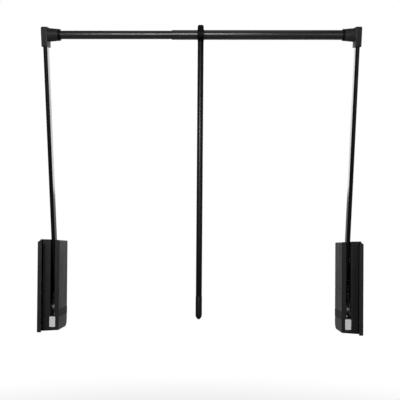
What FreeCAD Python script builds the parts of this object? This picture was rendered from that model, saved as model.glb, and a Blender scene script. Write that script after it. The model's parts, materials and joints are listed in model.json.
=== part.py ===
import FreeCAD, Part

import math
import os

# Pull down closet rod: a telescoping rail on two arms that swing out of a wardrobe.
# Millimetres. X runs from the left side panel (0) to the right one, Y into the wardrobe, Z up.
# The origin is where the swing axis meets the face of the left side panel.
# Each side is drawn once, at the left panel, and the right side is its mirror image.
# Arm parts are drawn upright over the swing axis and then leaned forward to their rest angle.

V = FreeCAD.Vector
X_AXIS = V(1, 0, 0)
Y_AXIS = V(0, 1, 0)
Z_AXIS = V(0, 0, 1)
ORIGIN = V(0, 0, 0)

# --- Driving dimensions -------------------------------------------------------------------

# General
FIT = 0.05                 # radial clearance of a fit
GAP = 0.3                  # clearance between moving surfaces
OVER = 1.0                 # how far a cutting tool runs past the material
FAR = 40.0                 # a reach beyond anything in a section
FEW_FLATS = 6              # flats that stand for a full round on tiny hidden fasteners
SOME_FLATS = 8             # on small pins, posts and sleeves
HALF_ROUND_FLATS = 16      # on the axle, the bush and the damper
ROUND_FLATS = 24           # on collars, rings, hubs and the turned parts of the handle

# Wardrobe and swing
PANEL_GAP = 900.0          # clear width between the two side panels
AXIS_TO_RAIL = 760.0       # swing axis to rail axis, along the arm
REST_LEAN = 12.0           # degrees that the raised arm leans out of the wardrobe
LOW_DIP = math.radians(5)  # the lowered arm points this far below level

# Housing
AXIS_HEIGHT = 61.5         # swing axis above the lower edge of the housing
HOUSING_HEIGHT = 259.0     # at the panel
DRAFT = 3.0                # top and bottom of the cover close in by this much towards the side face
HOUSING_THICKNESS = 53.0   # how far the housing stands off the panel
FRONT_Y = -56.5            # front face of the cover
REAR_Y = 48.0              # rear face of the cover
COVER_WALL = 2.5
REAR_CORNER_R = 20.0       # lower rear corner, side view
CORNER_R = 3.0             # other corners, side view
EDGE_BEVEL = 1.2           # bevel round the large side face
RIB = 2.0                  # thickness of the ribs in the cover

# Base plate and its front channel
BASE_THICKNESS = 3.0
CHANNEL_DEPTH = 30.0       # channel floor in front of the cover
LIP_HEIGHT = 11.0          # return lip, standing off the panel
LIP_THICKNESS = 2.4
LIP_DROP = 8.0             # the top of the lip slopes down to the panel by this much
SLIT_X = 7.2               # the cover's front wall starts this far off the panel
POST_RIB = 1.8             # rib that joins the chassis posts
POST_RIB_DROP = 6.0        # this rib stays below the tops of the posts

# Mounting holes, in pairs on the 32 mm system
HOLE_PITCH = 32.0
PAIR_PITCH = 96.0
PAIR_COUNT = 3
LOWEST_HOLE = 13.7         # above the lower edge of the housing
HOLE_R = 2.6
SLEEVE_R = 3.7
SLEEVE_TOP = 7.4

# Arm and its slot
ARM_X = 35.0               # arm centre, off the panel
ARM_WIDTH = 11.0
ARM_DEPTH = 30.0
ARM_WALL = 1.5
SLOT_WIDTH = 12.5
SLOT_REAR = -22.5          # rear end of the slot in the top of the cover
SLOT_RIB_DEPTH = 10.0      # ribs beside the slot, behind the front face
SLOT_RIB_GAP = 1.5         # these ribs start this far above the bumper

# Foot of the arm
FOOT_SHOULDER = 26.0       # the tube stands on the foot this far from the axis
TONGUE_TOP = 72.0
TONGUE_BEVEL = 0.9         # corner cut of the tongue, as a share of its half width
HUB_R = 15.0
HUB_HALF = 10.0
PIN_R = 2.5
PIN_HEIGHTS = (40.0, 60.0)

# Gear sector and rack
MODULE = 2.5
FULL_TEETH = 18            # teeth on the full circle
PRESSURE = math.radians(20.0)
DEDENDUM = 1.25 * MODULE
FLANK_SHIFT = 0.15         # each flank is thinned by this much for backlash
FLANK_STEPS = 3            # flats along each involute flank
SECTOR_HALF = 8.0          # half the face width of the sector
FIRST_TOOTH = -5
LAST_TOOTH = 1
RACK_HALF = 9.9
RACK_BACK = 38.2
RACK_FOOT = -46.0
RACK_TOP = 14.0
SEAT_TOP = 20.0            # top of the rack's spring flange

# Guide that the rack runs in
GUIDE_FRONT = 21.0
GUIDE_FOOT = -46.5
GUIDE_TOP = 56.0
GUIDE_PLAY = 0.2

# Axle, clip and bush
AXLE_R = 5.0
AXLE_HEAD_R = 8.0
AXLE_HEAD = 1.8
AXLE_STUB = 1.2            # the axle ends this far outside the cheek
CLIP_GROOVE = 0.8          # length of the groove for the clip
CLIP_GROOVE_DEPTH = 1.0
CLIP_END = 0.3             # length of the axle beyond the groove
CLIP = 0.7                 # thickness of the clip
CLIP_REACH = 3.0           # the clip stands this far out of the axle
CLIP_MOUTH = 6.4
BUSH_R = 6.5
BUSH_PROUD = 1.6

# Chassis
CHEEK = 2.0
CHEEK_HALF = 12.0          # inner faces of the cheeks, either side of the arm centre
CHEEK_EDGE = 11.0          # front edge of the cheeks, above and below the axle
NOSE_Y = -16.0             # front edge of the cheeks, beside the axle
NOSE_TOP = 14.0
NOSE_FOOT = -16.0
NOSE_R = 10.0
NECK_TOP = 34.0            # the cheeks narrow to their edge here
NECK_FOOT = -36.0
WEB_Y = 43.0
WEB_FOOT_GAP = 12.0        # the web stops short of the cheeks' lower ends
WEB_TOP_GAP = 5.0
CHASSIS_FOOT = -46.5
HEEL_R = 10.0              # lower rear corner of the cheeks
CHASSIS_TOP = 176.0
BRIDGE_Y = -6.0
BRIDGE_FOOT = 140.0
BRIDGE_TOP = 172.0
BRIDGE_CHEEK_FRONT = -8.0  # the cheeks reach this far forward beside the bridge
BRIDGE_CHEEK_FOOT = 134.0
FLARE_FOOT = 116.0         # the cheeks widen towards the bridge from here
WINDOW_FRONT = 19.0        # windows in the inner cheek, beside the spring
WINDOW_REAR = 35.0
WINDOW = 30.0
WINDOW_HEIGHTS = (66.0, 108.0)

# Posts and screws
POST_R = 5.0
POST_Y = 17.0
POST_HEIGHTS = (-42.0, 62.0, 112.0, 166.0)
SCREW_R = 2.0
SCREW_HEAD_R = 3.6
SCREW_HEAD = 1.6
SCREW_GRIP = 12.0          # length of a screw in its post
SCREW_OVERLAP = 0.5        # a shank starts this far inside its head
COVER_POST_R = 4.0
COVER_SCREW_R = 1.5
COVER_HEAD_R = 2.9
COVER_HEAD = 1.8           # depth of the seat for the head
COVER_HEAD_SINK = 0.2      # the head lies this far below the panel side
COVER_POSTS = ((-31.0, -51.0), (1.0, -51.0), (-4.0, 184.0), (38.0, 184.0))

# Spring and damper
SPRING_Y = 28.8
SPRING_TOP = 144.0
SPRING_R = 8.0             # mean coil radius
SPRING_WIRE = 3.0          # radial
SPRING_BAND = 2.4          # along the axis
SPRING_TURNS = 10
SPRING_STEPS = 8           # flats in each turn
SPRING_TIP = 0.5           # thickness that grinding leaves at the wire's ends
SPRING_REST = 0.1          # the closed turns lie this far apart
DAMPER_R = 5.5
DAMPER_BORE_R = 4.0
DAMPER_FOOT = 92.0
DAMPER_END = 3.0           # end wall of the cylinder
DAMPER_ROOF = 4.0          # the bore ends this far below the shoulder
DAMPER_RIM = 2.5           # the shoulder stands this far out of the cylinder
DAMPER_ROD_R = 2.0
DAMPER_EYE = 8.0
DAMPER_EYE_WALL = 3.0
DAMPER_NECK_HALF = 5.0
ROD_GRIP = 6.0             # length of the rod's end in the rack
PISTON_Z = 100.0
PISTON = 5.0
SEAT_PLATE = 3.0
SEAT_RIM = 0.5             # the seats stand this far out of the spring
ANCHOR_Z = 158.0
ANCHOR_R = 3.0
ANCHOR_HEAD = 1.4
ANCHOR_HEAD_R = 5.0

# Bumper and rest pad
BUMPER_WIDTH = 17.0
BUMPER_FOOT = 11.9         # above the lower edge of the housing
BUMPER_DEPTH = 14.0
BUMPER_R = 2.0
PAD_HALF = 6.0
PAD_FOOT = 144.0           # along the arm
PAD_TOP = 166.0

# Cover trim
BAND_FOOT = 40.5           # raised band on the side face, above the lower edge
BAND_TOP = 61.5
BAND_PROUD = 1.0
BAND_WIDTH = 3.0           # the band reaches this far towards the panel at the rear edge
BAND_LINE = 0.8            # fine groove along each edge of the band
BAND_LINE_DEPTH = 0.5
GROOVE_HEIGHT = 124.5
GROOVE_WIDTH = 1.4
GROOVE_DEPTH = 0.8

# Elbows
ELBOW_HALF = 8.2
ELBOW_DEPTH = 38.0
ELBOW_BELOW = 32.0
ELBOW_ABOVE = 22.0
ELBOW_TOP_R = 8.0
ELBOW_ROOF = 6.0           # the arm tube ends this far below the elbow's top
ELBOW_SCREW_DROP = 18.0    # screw below the rail axis
ELBOW_SCREW_SINK = 0.4     # its head lies this far below the surface
ELBOW_SCREW_GRIP = 5.0     # length of the screw inside the arm tube
SOCKET_X = 42.0            # the rail tube stops here, off the panel
COLLAR_END = 70.0
COLLAR_ROOT = 2.0          # the collar starts this far inside the elbow's flank
COLLAR_ROOT_R = 15.5
COLLAR_MOUTH_R = 14.2
RING_WIDTH = 5.0

# Rail
INNER_TUBE_R = 11.0
INNER_TUBE_WALL = 1.5
INNER_TUBE_END = 723.0
OUTER_TUBE_R = 12.5
OUTER_TUBE_WALL = 1.2
OUTER_TUBE_START = 373.0
GLIDE_HEAD = 4.0
GLIDE_PROUD = 0.2
GLIDE_PLUG = 22.0

# Handle
HANDLE_X = 450.0
HANDLE_DROP = 756.0        # rail axis to the tip
EYE_WIDTH = 16.0
EYE_R = 18.8
EYE_TOP = 26.6
EYE_LOBE_R = 10.0
EYE_NOSE_R = 7.95          # rounding of the eye's upper end, front view
SLEEVE_WALL = 1.4
SLEEVE_PROUD = 0.8
HANDLE_R = 8.0
HANDLE_WALL = 1.4
HANDLE_START = 19.0        # below the rail axis
HANDLE_NECK = 8.0
TIP_R = 8.5
TIP_LENGTH = 61.0
TIP_NOSE = 12.0
TIP_PLUG = 28.0            # spigot up the rod
NOSE_STEPS = 4             # tapers that round the nose
HANDLE_PIN_R = 2.0
HANDLE_PIN_DROP = 33.0
HANDLE_PIN_SINK = 0.3      # the pin's ends lie this far below the rod's surface

# --- Values worked out from them ----------------------------------------------------------

BOTTOM_Z = -AXIS_HEIGHT
TOP_Z = BOTTOM_Z + HOUSING_HEIGHT
LIP_Y = FRONT_Y - CHANNEL_DEPTH
HOLE_Y = FRONT_Y - CHANNEL_DEPTH / 2
CHEEK_OUTER = ARM_X - CHEEK_HALF - CHEEK
CHEEK_INNER = ARM_X + CHEEK_HALF
COVER_INSIDE = HOUSING_THICKNESS - COVER_WALL
AXLE_END = CHEEK_INNER + CHEEK + AXLE_STUB
PITCH_R = MODULE * FULL_TEETH / 2
PITCH = math.pi * MODULE
BASE_R = PITCH_R * math.cos(PRESSURE)
ROOT_R = PITCH_R - DEDENDUM
ADDENDUM_R = PITCH_R + MODULE
TOOTH_STEP = 2 * math.pi / FULL_TEETH
SPRING_INNER = SPRING_R - SPRING_WIRE / 2
SPRING_OUTER = SPRING_R + SPRING_WIRE / 2
BUMPER_TOP = FRONT_Y * math.tan(LOW_DIP) - ARM_DEPTH / 2 / math.cos(LOW_DIP) - GAP
BUMPER_Z = BOTTOM_Z + BUMPER_FOOT
ELBOW_SCREW_SEAT = ELBOW_DEPTH / 2 - SCREW_HEAD - ELBOW_SCREW_SINK
PLUG_R = HANDLE_R - HANDLE_WALL - FIT
SLEEVE_BORE_R = OUTER_TUBE_R + GAP / 2
RAIL_Y = -AXIS_TO_RAIL * math.sin(math.radians(REST_LEAN))
RAIL_Z = AXIS_TO_RAIL * math.cos(math.radians(REST_LEAN))


# --- Helpers ------------------------------------------------------------------------------

def box(x0, x1, y0, y1, z0, z1):
    """A block between two opposite corners."""
    return Part.makeBox(x1 - x0, y1 - y0, z1 - z0, V(x0, y0, z0))


def polygon(corners):
    """A flat face with straight edges."""
    return Part.Face(Part.makePolygon(list(corners) + [corners[0]]))


def circle_points(radius, z, flats, x=0.0, y=0.0):
    """The corners of a level regular polygon, drawn in a circle."""
    step = 2 * math.pi / flats
    angles = [(i + 0.5) * step for i in range(flats)]
    return [V(x + radius * math.cos(a), y + radius * math.sin(a), z) for a in angles]


def around(radius, flats):
    """The corner radius of a polygon that lies outside a circle."""
    return radius / math.cos(math.pi / flats)


def bar_x(radius, x0, x1, y=0.0, z=0.0):
    """A round bar along X."""
    return Part.makeCylinder(radius, x1 - x0, V(x0, y, z), X_AXIS)


def ring_x(outer, inner, x0, x1, y=0.0, z=0.0):
    """A tube or ring along X."""
    return bar_x(outer, x0, x1, y, z).cut(bar_x(inner, x0, x1, y, z))


def flats_z(radius, z0, z1, x=ARM_X, y=SPRING_Y, flats=SOME_FLATS):
    """A bar along Z with flats in place of its round."""
    return polygon(circle_points(radius, z0, flats, x, y)).extrude(V(0, 0, z1 - z0))


def along_x(shape, y=0.0, z=0.0):
    """A shape drawn up the Z axis, laid along X."""
    return shape.rotated(ORIGIN, Y_AXIS, 90).translated(V(0, y, z))


def flats_x(radius, x0, x1, y=0.0, z=0.0, flats=SOME_FLATS):
    """A bar along X with flats in place of its round."""
    return along_x(flats_z(radius, x0, x1, 0, 0, flats), y, z)


def turned(profile, flats):
    """A solid turned about the Z axis from rising (radius, z) pairs, with flats in place of its round."""
    rings = [circle_points(radius, z, flats) for radius, z in profile]
    faces = [polygon(rings[0]), polygon(rings[-1])]
    for low, high in zip(rings[:-1], rings[1:]):
        for i in range(flats):
            after = (i + 1) % flats
            faces.append(polygon([low[i], low[after], high[after], high[i]]))
    return closed_solid(faces)


def closed_solid(faces):
    """The solid that a closed set of faces bounds."""
    shell = Part.makeShell(faces)
    shell.sewShape()
    return Part.makeSolid(shell)


def unit(vector):
    """The same direction with length 1."""
    return vector * (1.0 / vector.Length)


def rounded_face(corners):
    """A flat face through (point, corner radius) pairs."""
    points = [corner[0] for corner in corners]
    count = len(points)
    edges = []
    tangents = []
    for i, (here, radius) in enumerate(corners):
        back = unit(points[i - 1] - here)
        ahead = unit(points[(i + 1) % count] - here)
        half = 0.5 * back.getAngle(ahead)
        start = here + back * (radius / math.tan(half))
        end = here + ahead * (radius / math.tan(half))
        tangents.append((start, end))
        if radius > 0:
            crown = here + unit(back + ahead) * (radius / math.sin(half) - radius)
            edges.append(Part.Arc(start, crown, end).toShape())
    for i in range(count):
        start = tangents[i][1]
        end = tangents[(i + 1) % count][0]
        if (end - start).Length > 1e-6:
            edges.append(Part.LineSegment(start, end).toShape())
    return Part.Face(Part.Wire(Part.__sortEdges__(edges)))


def side_plate(x0, x1, corners):
    """A plate between two X values whose side view has (y, z, radius) corners."""
    face = rounded_face([(V(x0, y, z), radius) for y, z, radius in corners])
    return face.extrude(V(x1 - x0, 0, 0))


def flat_oval(width, depth, z0, z1):
    """A bar of flat-oval section on the arm's centre line."""
    radius = width / 2
    reach = depth / 2 - radius
    left = ARM_X - radius
    right = ARM_X + radius
    edges = [
        Part.LineSegment(V(left, -reach, z0), V(left, reach, z0)).toShape(),
        Part.Arc(V(left, reach, z0), V(ARM_X, depth / 2, z0), V(right, reach, z0)).toShape(),
        Part.LineSegment(V(right, reach, z0), V(right, -reach, z0)).toShape(),
        Part.Arc(V(right, -reach, z0), V(ARM_X, -depth / 2, z0), V(left, -reach, z0)).toShape(),
    ]
    return Part.Face(Part.Wire(edges)).extrude(V(0, 0, z1 - z0))


def bevelled_bar(width, depth, z0, z1):
    """A bar of oblong section on the arm's centre line, its corners cut to lie inside the flat oval."""
    half_x = width / 2
    half_y = depth / 2
    bevel = half_x * TONGUE_BEVEL
    corners = []
    for sign_x, sign_y in ((1, 1), (-1, 1), (-1, -1), (1, -1)):
        near = V(ARM_X + sign_x * half_x, sign_y * (half_y - bevel), z0)
        far = V(ARM_X + sign_x * (half_x - bevel), sign_y * half_y, z0)
        corners += [near, far] if sign_x == sign_y else [far, near]
    return polygon(corners).extrude(V(0, 0, z1 - z0))


def fuse_all(shapes):
    """One solid from several that touch."""
    return shapes[0].multiFuse(shapes[1:]).removeSplitter()


def cut_all(shape, tools):
    """The shape with every tool taken away."""
    return shape.cut(Part.makeCompound(tools)).removeSplitter()


def lean(shape):
    """An upright arm part turned forward to its rest angle."""
    return shape.rotated(ORIGIN, X_AXIS, REST_LEAN)


def on_rail(shape):
    """A part drawn about the X axis, moved to the rail's axis."""
    return shape.translated(V(0, RAIL_Y, RAIL_Z))


def mirrored(shape):
    """The right-hand twin of a left-hand part."""
    return shape.mirror(V(PANEL_GAP / 2, 0, 0), X_AXIS)


def hole_heights():
    """Z of every mounting hole."""
    heights = []
    for pair in range(PAIR_COUNT):
        low = BOTTOM_Z + LOWEST_HOLE + pair * PAIR_PITCH
        heights.extend([low, low + HOLE_PITCH])
    return heights


# --- Fixed parts of a housing -------------------------------------------------------------

def base_plate():
    """Moulded plate on the panel, with the front channel, its return lip and the chassis posts."""
    outline = [
        (LIP_Y, BOTTOM_Z, CORNER_R),
        (REAR_Y, BOTTOM_Z, REAR_CORNER_R),
        (REAR_Y, TOP_Z, CORNER_R),
        (LIP_Y, TOP_Z, 0),
    ]
    behind_lip = box(BASE_THICKNESS, LIP_HEIGHT + OVER, LIP_Y + LIP_THICKNESS, REAR_Y + OVER,
                     BOTTOM_Z - OVER, TOP_Z + OVER)
    slope = polygon([
        V(0, LIP_Y - OVER, TOP_Z + OVER),
        V(0, LIP_Y - OVER, TOP_Z - LIP_DROP),
        V(LIP_HEIGHT, LIP_Y - OVER, TOP_Z),
        V(LIP_HEIGHT, LIP_Y - OVER, TOP_Z + OVER),
    ])
    above_lip = slope.extrude(V(0, CHANNEL_DEPTH, 0))
    plate = side_plate(0, LIP_HEIGHT, outline).cut(behind_lip).cut(above_lip)
    posts = [flats_x(POST_R, BASE_THICKNESS, CHEEK_OUTER, POST_Y, z) for z in POST_HEIGHTS]
    ribs = [box(BASE_THICKNESS, CHEEK_OUTER - POST_RIB_DROP, POST_Y - POST_RIB / 2, POST_Y + POST_RIB / 2,
                low, high)
            for low, high in zip(POST_HEIGHTS[:-1], POST_HEIGHTS[1:])]
    plate = fuse_all([plate] + posts + ribs)
    floor = BASE_THICKNESS + OVER
    tools = [flats_x(SLEEVE_R + FIT, -OVER, floor, HOLE_Y, z) for z in hole_heights()]
    for z in POST_HEIGHTS:
        tools.append(flats_x(SCREW_R + FIT, CHEEK_OUTER - SCREW_GRIP, CHEEK_OUTER + OVER,
                             POST_Y, z, FEW_FLATS))
    for y, z in COVER_POSTS:
        tools.append(flats_x(COVER_SCREW_R + FIT, -OVER, floor, y, z, FEW_FLATS))
        tools.append(flats_x(COVER_HEAD_R + FIT, -OVER, COVER_HEAD, y, z, FEW_FLATS))
    return cut_all(plate, tools)


def mount_sleeves():
    """Steel sleeves through which the housing is screwed to the panel."""
    sleeves = []
    for z in hole_heights():
        barrel = flats_x(SLEEVE_R, 0, SLEEVE_TOP, HOLE_Y, z)
        sleeves.append(barrel.cut(bar_x(HOLE_R, -OVER, SLEEVE_TOP + OVER, HOLE_Y, z)))
    return Part.makeCompound(sleeves)


def cover_section(x, inset, draft, front_r):
    """Side-view outline of the cover at one distance from the panel."""
    front = FRONT_Y + inset
    rear = REAR_Y - inset
    low = BOTTOM_Z + inset + draft
    high = TOP_Z - inset - draft
    return rounded_face([
        (V(x, front, low), front_r),
        (V(x, rear, low), REAR_CORNER_R - inset),
        (V(x, rear, high), front_r),
        (V(x, front, high), front_r),
    ]).OuterWire


def cover_shell():
    """Hollow body of the cover, drafted towards its side face, with the raised band."""
    bevel_x = HOUSING_THICKNESS - EDGE_BEVEL
    body = [cover_section(BASE_THICKNESS, 0, 0, CORNER_R), cover_section(bevel_x, 0, DRAFT, CORNER_R)]
    rim = [body[-1], cover_section(HOUSING_THICKNESS, EDGE_BEVEL, DRAFT, CORNER_R)]
    block = Part.makeLoft(body, True, True).fuse(Part.makeLoft(rim, True, True))
    band = box(HOUSING_THICKNESS - BAND_WIDTH, HOUSING_THICKNESS, FRONT_Y, REAR_Y + BAND_PROUD,
               BOTTOM_Z + BAND_FOOT, BOTTOM_Z + BAND_TOP)
    cavity = Part.makeLoft([cover_section(BASE_THICKNESS - OVER, COVER_WALL, 0, 0),
                            cover_section(COVER_INSIDE, COVER_WALL, DRAFT, 0)], True, True)
    return block.fuse(band).cut(cavity)


def cover_ribs():
    """Ribs beside the arm's slot, and the pocket round the bumper."""
    inside_y = FRONT_Y + COVER_WALL
    in_wall = COVER_WALL + DRAFT / 4
    inside_z = BOTTOM_Z + in_wall
    ribs = []
    for x in (ARM_X - SLOT_WIDTH / 2 - RIB, ARM_X + SLOT_WIDTH / 2):
        ribs.append(box(x, x + RIB, inside_y, FRONT_Y + SLOT_RIB_DEPTH,
                        BUMPER_TOP + SLOT_RIB_GAP, TOP_Z - in_wall))
    left = ARM_X - BUMPER_WIDTH / 2 - FIT
    right = ARM_X + BUMPER_WIDTH / 2 + FIT
    back = FRONT_Y + BUMPER_DEPTH + FIT
    for x in (left - RIB, right):
        ribs.append(box(x, x + RIB, inside_y, back, inside_z, BUMPER_TOP))
    ribs.append(box(left - RIB, right + RIB, back, back + RIB, inside_z, BUMPER_TOP))
    ribs.append(box(left, right, inside_y, back, inside_z, BUMPER_Z - FIT))
    return ribs


def cover():
    """Moulded shell over the mechanism, open to the panel and slotted for the arm."""
    posts = [flats_x(COVER_POST_R, BASE_THICKNESS, COVER_INSIDE, y, z) for y, z in COVER_POSTS]
    shell = fuse_all([cover_shell()] + cover_ribs() + posts)
    slot_left = ARM_X - SLOT_WIDTH / 2
    slot_right = ARM_X + SLOT_WIDTH / 2
    front = FRONT_Y - OVER
    behind_wall = FRONT_Y + COVER_WALL + OVER
    outside = HOUSING_THICKNESS + OVER
    groove = BOTTOM_Z + GROOVE_HEIGHT
    tools = [
        box(0, SLIT_X, front, FRONT_Y + COVER_WALL + FIT, BOTTOM_Z + COVER_WALL, TOP_Z - COVER_WALL),
        box(slot_left, slot_right, front, behind_wall, BUMPER_TOP, TOP_Z + OVER),
        box(slot_left, slot_right, front, SLOT_REAR, TOP_Z - 2 * COVER_WALL - DRAFT, TOP_Z + OVER),
        bumper_block(FIT, OVER),
        box(HOUSING_THICKNESS - GROOVE_DEPTH, outside, front, REAR_Y + OVER, groove, groove + GROOVE_WIDTH),
    ]
    for edge in (BOTTOM_Z + BAND_FOOT, BOTTOM_Z + BAND_TOP):
        tools.append(box(HOUSING_THICKNESS - BAND_LINE_DEPTH, outside, front, REAR_Y + BAND_PROUD + OVER,
                         edge - BAND_LINE / 2, edge + BAND_LINE / 2))
    for y, z in COVER_POSTS:
        tools.append(flats_x(COVER_SCREW_R + FIT, BASE_THICKNESS - OVER, BASE_THICKNESS + SCREW_GRIP + OVER,
                             y, z, FEW_FLATS))
    return cut_all(shell, tools)


def cover_screws():
    """Screws sunk in the panel side of the base plate, into the posts of the cover."""
    screws = []
    for y, z in COVER_POSTS:
        head = flats_x(COVER_HEAD_R, COVER_HEAD_SINK, COVER_HEAD, y, z, FEW_FLATS)
        shank = flats_x(COVER_SCREW_R, COVER_HEAD - SCREW_OVERLAP, BASE_THICKNESS + SCREW_GRIP,
                        y, z, FEW_FLATS)
        screws.append(head.fuse(shank).removeSplitter())
    return Part.makeCompound(screws)


def chassis():
    """Folded steel frame: two cheeks, a rear web and the bridge behind the rest pad."""
    outline = [
        (WEB_Y + CHEEK, CHASSIS_FOOT, HEEL_R),
        (WEB_Y + CHEEK, CHASSIS_TOP, 0),
        (BRIDGE_CHEEK_FRONT, CHASSIS_TOP, 0),
        (BRIDGE_CHEEK_FRONT, BRIDGE_CHEEK_FOOT, 0),
        (CHEEK_EDGE, FLARE_FOOT, 0),
        (CHEEK_EDGE, NECK_TOP, 0),
        (NOSE_Y, NOSE_TOP, NOSE_R),
        (NOSE_Y, NOSE_FOOT, NOSE_R),
        (CHEEK_EDGE, NECK_FOOT, 0),
        (CHEEK_EDGE, CHASSIS_FOOT, 0),
    ]
    cheeks = [side_plate(x, x + CHEEK, outline) for x in (CHEEK_OUTER, CHEEK_INNER)]
    left = CHEEK_OUTER
    right = CHEEK_INNER + CHEEK
    web = box(left, right, WEB_Y, WEB_Y + CHEEK, CHASSIS_FOOT + WEB_FOOT_GAP, CHASSIS_TOP - WEB_TOP_GAP)
    bridge = box(left, right, BRIDGE_Y, BRIDGE_Y + CHEEK, BRIDGE_FOOT, BRIDGE_TOP)
    tools = [
        flats_x(AXLE_R + FIT, left - OVER, right + OVER, flats=HALF_ROUND_FLATS),
        flats_x(ANCHOR_R + FIT, left - OVER, right + OVER, SPRING_Y, ANCHOR_Z),
    ]
    for z in POST_HEIGHTS:
        tools.append(flats_x(SCREW_R + FIT, left - OVER, left + CHEEK + OVER, POST_Y, z, FEW_FLATS))
    for z in WINDOW_HEIGHTS:
        tools.append(box(CHEEK_INNER - OVER, right + OVER, WINDOW_FRONT, WINDOW_REAR, z, z + WINDOW))
    return cut_all(fuse_all(cheeks + [web, bridge]), tools)


def chassis_screws():
    """Pan-head screws that hold the chassis on the posts of the base plate."""
    seat = CHEEK_OUTER + CHEEK
    screws = []
    for z in POST_HEIGHTS:
        head = flats_x(SCREW_HEAD_R, seat, seat + SCREW_HEAD, POST_Y, z, FEW_FLATS)
        shank = flats_x(SCREW_R, seat - SCREW_GRIP, seat + SCREW_OVERLAP, POST_Y, z, FEW_FLATS)
        screws.append(head.fuse(shank).removeSplitter())
    return Part.makeCompound(screws)


def axle():
    """Headed axle with a groove for its clip."""
    groove_end = AXLE_END - CLIP_END
    shaft = flats_x(AXLE_R, CHEEK_OUTER, groove_end - CLIP_GROOVE, flats=HALF_ROUND_FLATS)
    head = flats_x(AXLE_HEAD_R, CHEEK_OUTER - AXLE_HEAD, CHEEK_OUTER)
    neck = flats_x(AXLE_R - CLIP_GROOVE_DEPTH, groove_end - CLIP_GROOVE, groove_end)
    button = flats_x(AXLE_R, groove_end, AXLE_END)
    return fuse_all([head, shaft, neck, button])


def axle_clip():
    """Open retaining ring in the groove of the axle."""
    front = AXLE_END - CLIP_END - FIT
    plate = flats_x(AXLE_R + CLIP_REACH, front - CLIP, front)
    seat = flats_x(AXLE_R - CLIP_GROOVE_DEPTH + FIT, front - CLIP - OVER, front + OVER)
    mouth = box(front - CLIP - OVER, front + OVER, -CLIP_MOUTH / 2, CLIP_MOUTH / 2,
                0, AXLE_R + CLIP_REACH + OVER)
    return cut_all(plate, [seat, mouth])


def anchor_pin():
    """Pin across the cheeks that carries the top of the damper."""
    head = flats_x(ANCHOR_HEAD_R, CHEEK_OUTER - ANCHOR_HEAD, CHEEK_OUTER, SPRING_Y, ANCHOR_Z)
    shank = flats_x(ANCHOR_R, CHEEK_OUTER - SCREW_OVERLAP, CHEEK_INNER + CHEEK + OVER, SPRING_Y, ANCHOR_Z)
    return head.fuse(shank).removeSplitter()


def rack_guide():
    """Plastic channel that the rack slides in."""
    block = box(ARM_X - CHEEK_HALF, ARM_X + CHEEK_HALF, GUIDE_FRONT, WEB_Y, GUIDE_FOOT, GUIDE_TOP)
    half = RACK_HALF + GUIDE_PLAY
    run = box(ARM_X - half, ARM_X + half, GUIDE_FRONT - OVER, RACK_BACK + GUIDE_PLAY,
              GUIDE_FOOT - OVER, GUIDE_TOP + OVER)
    return block.cut(run)


def damper_cylinder():
    """Closed cylinder with a shoulder for the spring seat and an eye on the anchor pin."""
    left = ARM_X - DAMPER_EYE / 2
    right = ARM_X + DAMPER_EYE / 2
    neck_half = DAMPER_NECK_HALF
    shoulder_z = SPRING_TOP + SEAT_PLATE
    body = fuse_all([
        flats_z(DAMPER_R, DAMPER_FOOT, shoulder_z, flats=HALF_ROUND_FLATS),
        flats_z(DAMPER_R + DAMPER_RIM, shoulder_z, shoulder_z + SEAT_PLATE),
        box(left, right, SPRING_Y - neck_half, SPRING_Y + neck_half, shoulder_z + OVER, ANCHOR_Z),
        flats_x(ANCHOR_R + DAMPER_EYE_WALL, left, right, SPRING_Y, ANCHOR_Z),
    ])
    return cut_all(body, [
        flats_z(DAMPER_BORE_R, DAMPER_FOOT + DAMPER_END, SPRING_TOP - DAMPER_ROOF),
        flats_z(DAMPER_ROD_R + 2 * FIT, DAMPER_FOOT - OVER, DAMPER_FOOT + DAMPER_END + OVER),
        flats_x(ANCHOR_R + FIT, left - OVER, right + OVER, SPRING_Y, ANCHOR_Z),
    ])


def spring_seat():
    """Upper seat, a ring on the damper that the spring pushes against its shoulder."""
    top = SPRING_TOP + SEAT_PLATE
    plate = flats_z(SPRING_OUTER + SEAT_RIM, SPRING_TOP, top, flats=HALF_ROUND_FLATS)
    return plate.cut(flats_z(DAMPER_R + FIT, SPRING_TOP - OVER, top + OVER, flats=HALF_ROUND_FLATS))


def spring():
    """Compression spring of flat wire between the rack and the upper seat, its ends closed and ground."""
    length = SPRING_TOP - SEAT_TOP
    half = SPRING_BAND / 2
    start = SPRING_TIP - half
    closed = start + SPRING_BAND + SPRING_REST
    pitch = (length - 2 * closed) / (SPRING_TURNS - 2)
    sections = []
    for step in range(SPRING_TURNS * SPRING_STEPS + 1):
        turn = step / SPRING_STEPS
        centre = closed + (turn - 1) * pitch
        if turn < 1:
            centre = start + turn * (closed - start)
        if turn > SPRING_TURNS - 1:
            centre = length - start - (SPRING_TURNS - turn) * (closed - start)
        low = SEAT_TOP + max(centre - half, 0)
        high = SEAT_TOP + min(centre + half, length)
        angle = 2 * math.pi * turn
        rim = ((SPRING_INNER, low), (SPRING_OUTER, low), (SPRING_OUTER, high), (SPRING_INNER, high))
        sections.append([V(ARM_X + radius * math.cos(angle), SPRING_Y + radius * math.sin(angle), z)
                         for radius, z in rim])
    faces = [polygon(sections[0]), polygon(sections[-1])]
    for here, ahead in zip(sections[:-1], sections[1:]):
        for side in range(len(here)):
            after = (side + 1) % len(here)
            faces.append(polygon([here[side], here[after], ahead[after]]))
            faces.append(polygon([here[side], ahead[after], ahead[side]]))
    return closed_solid(faces)


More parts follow.
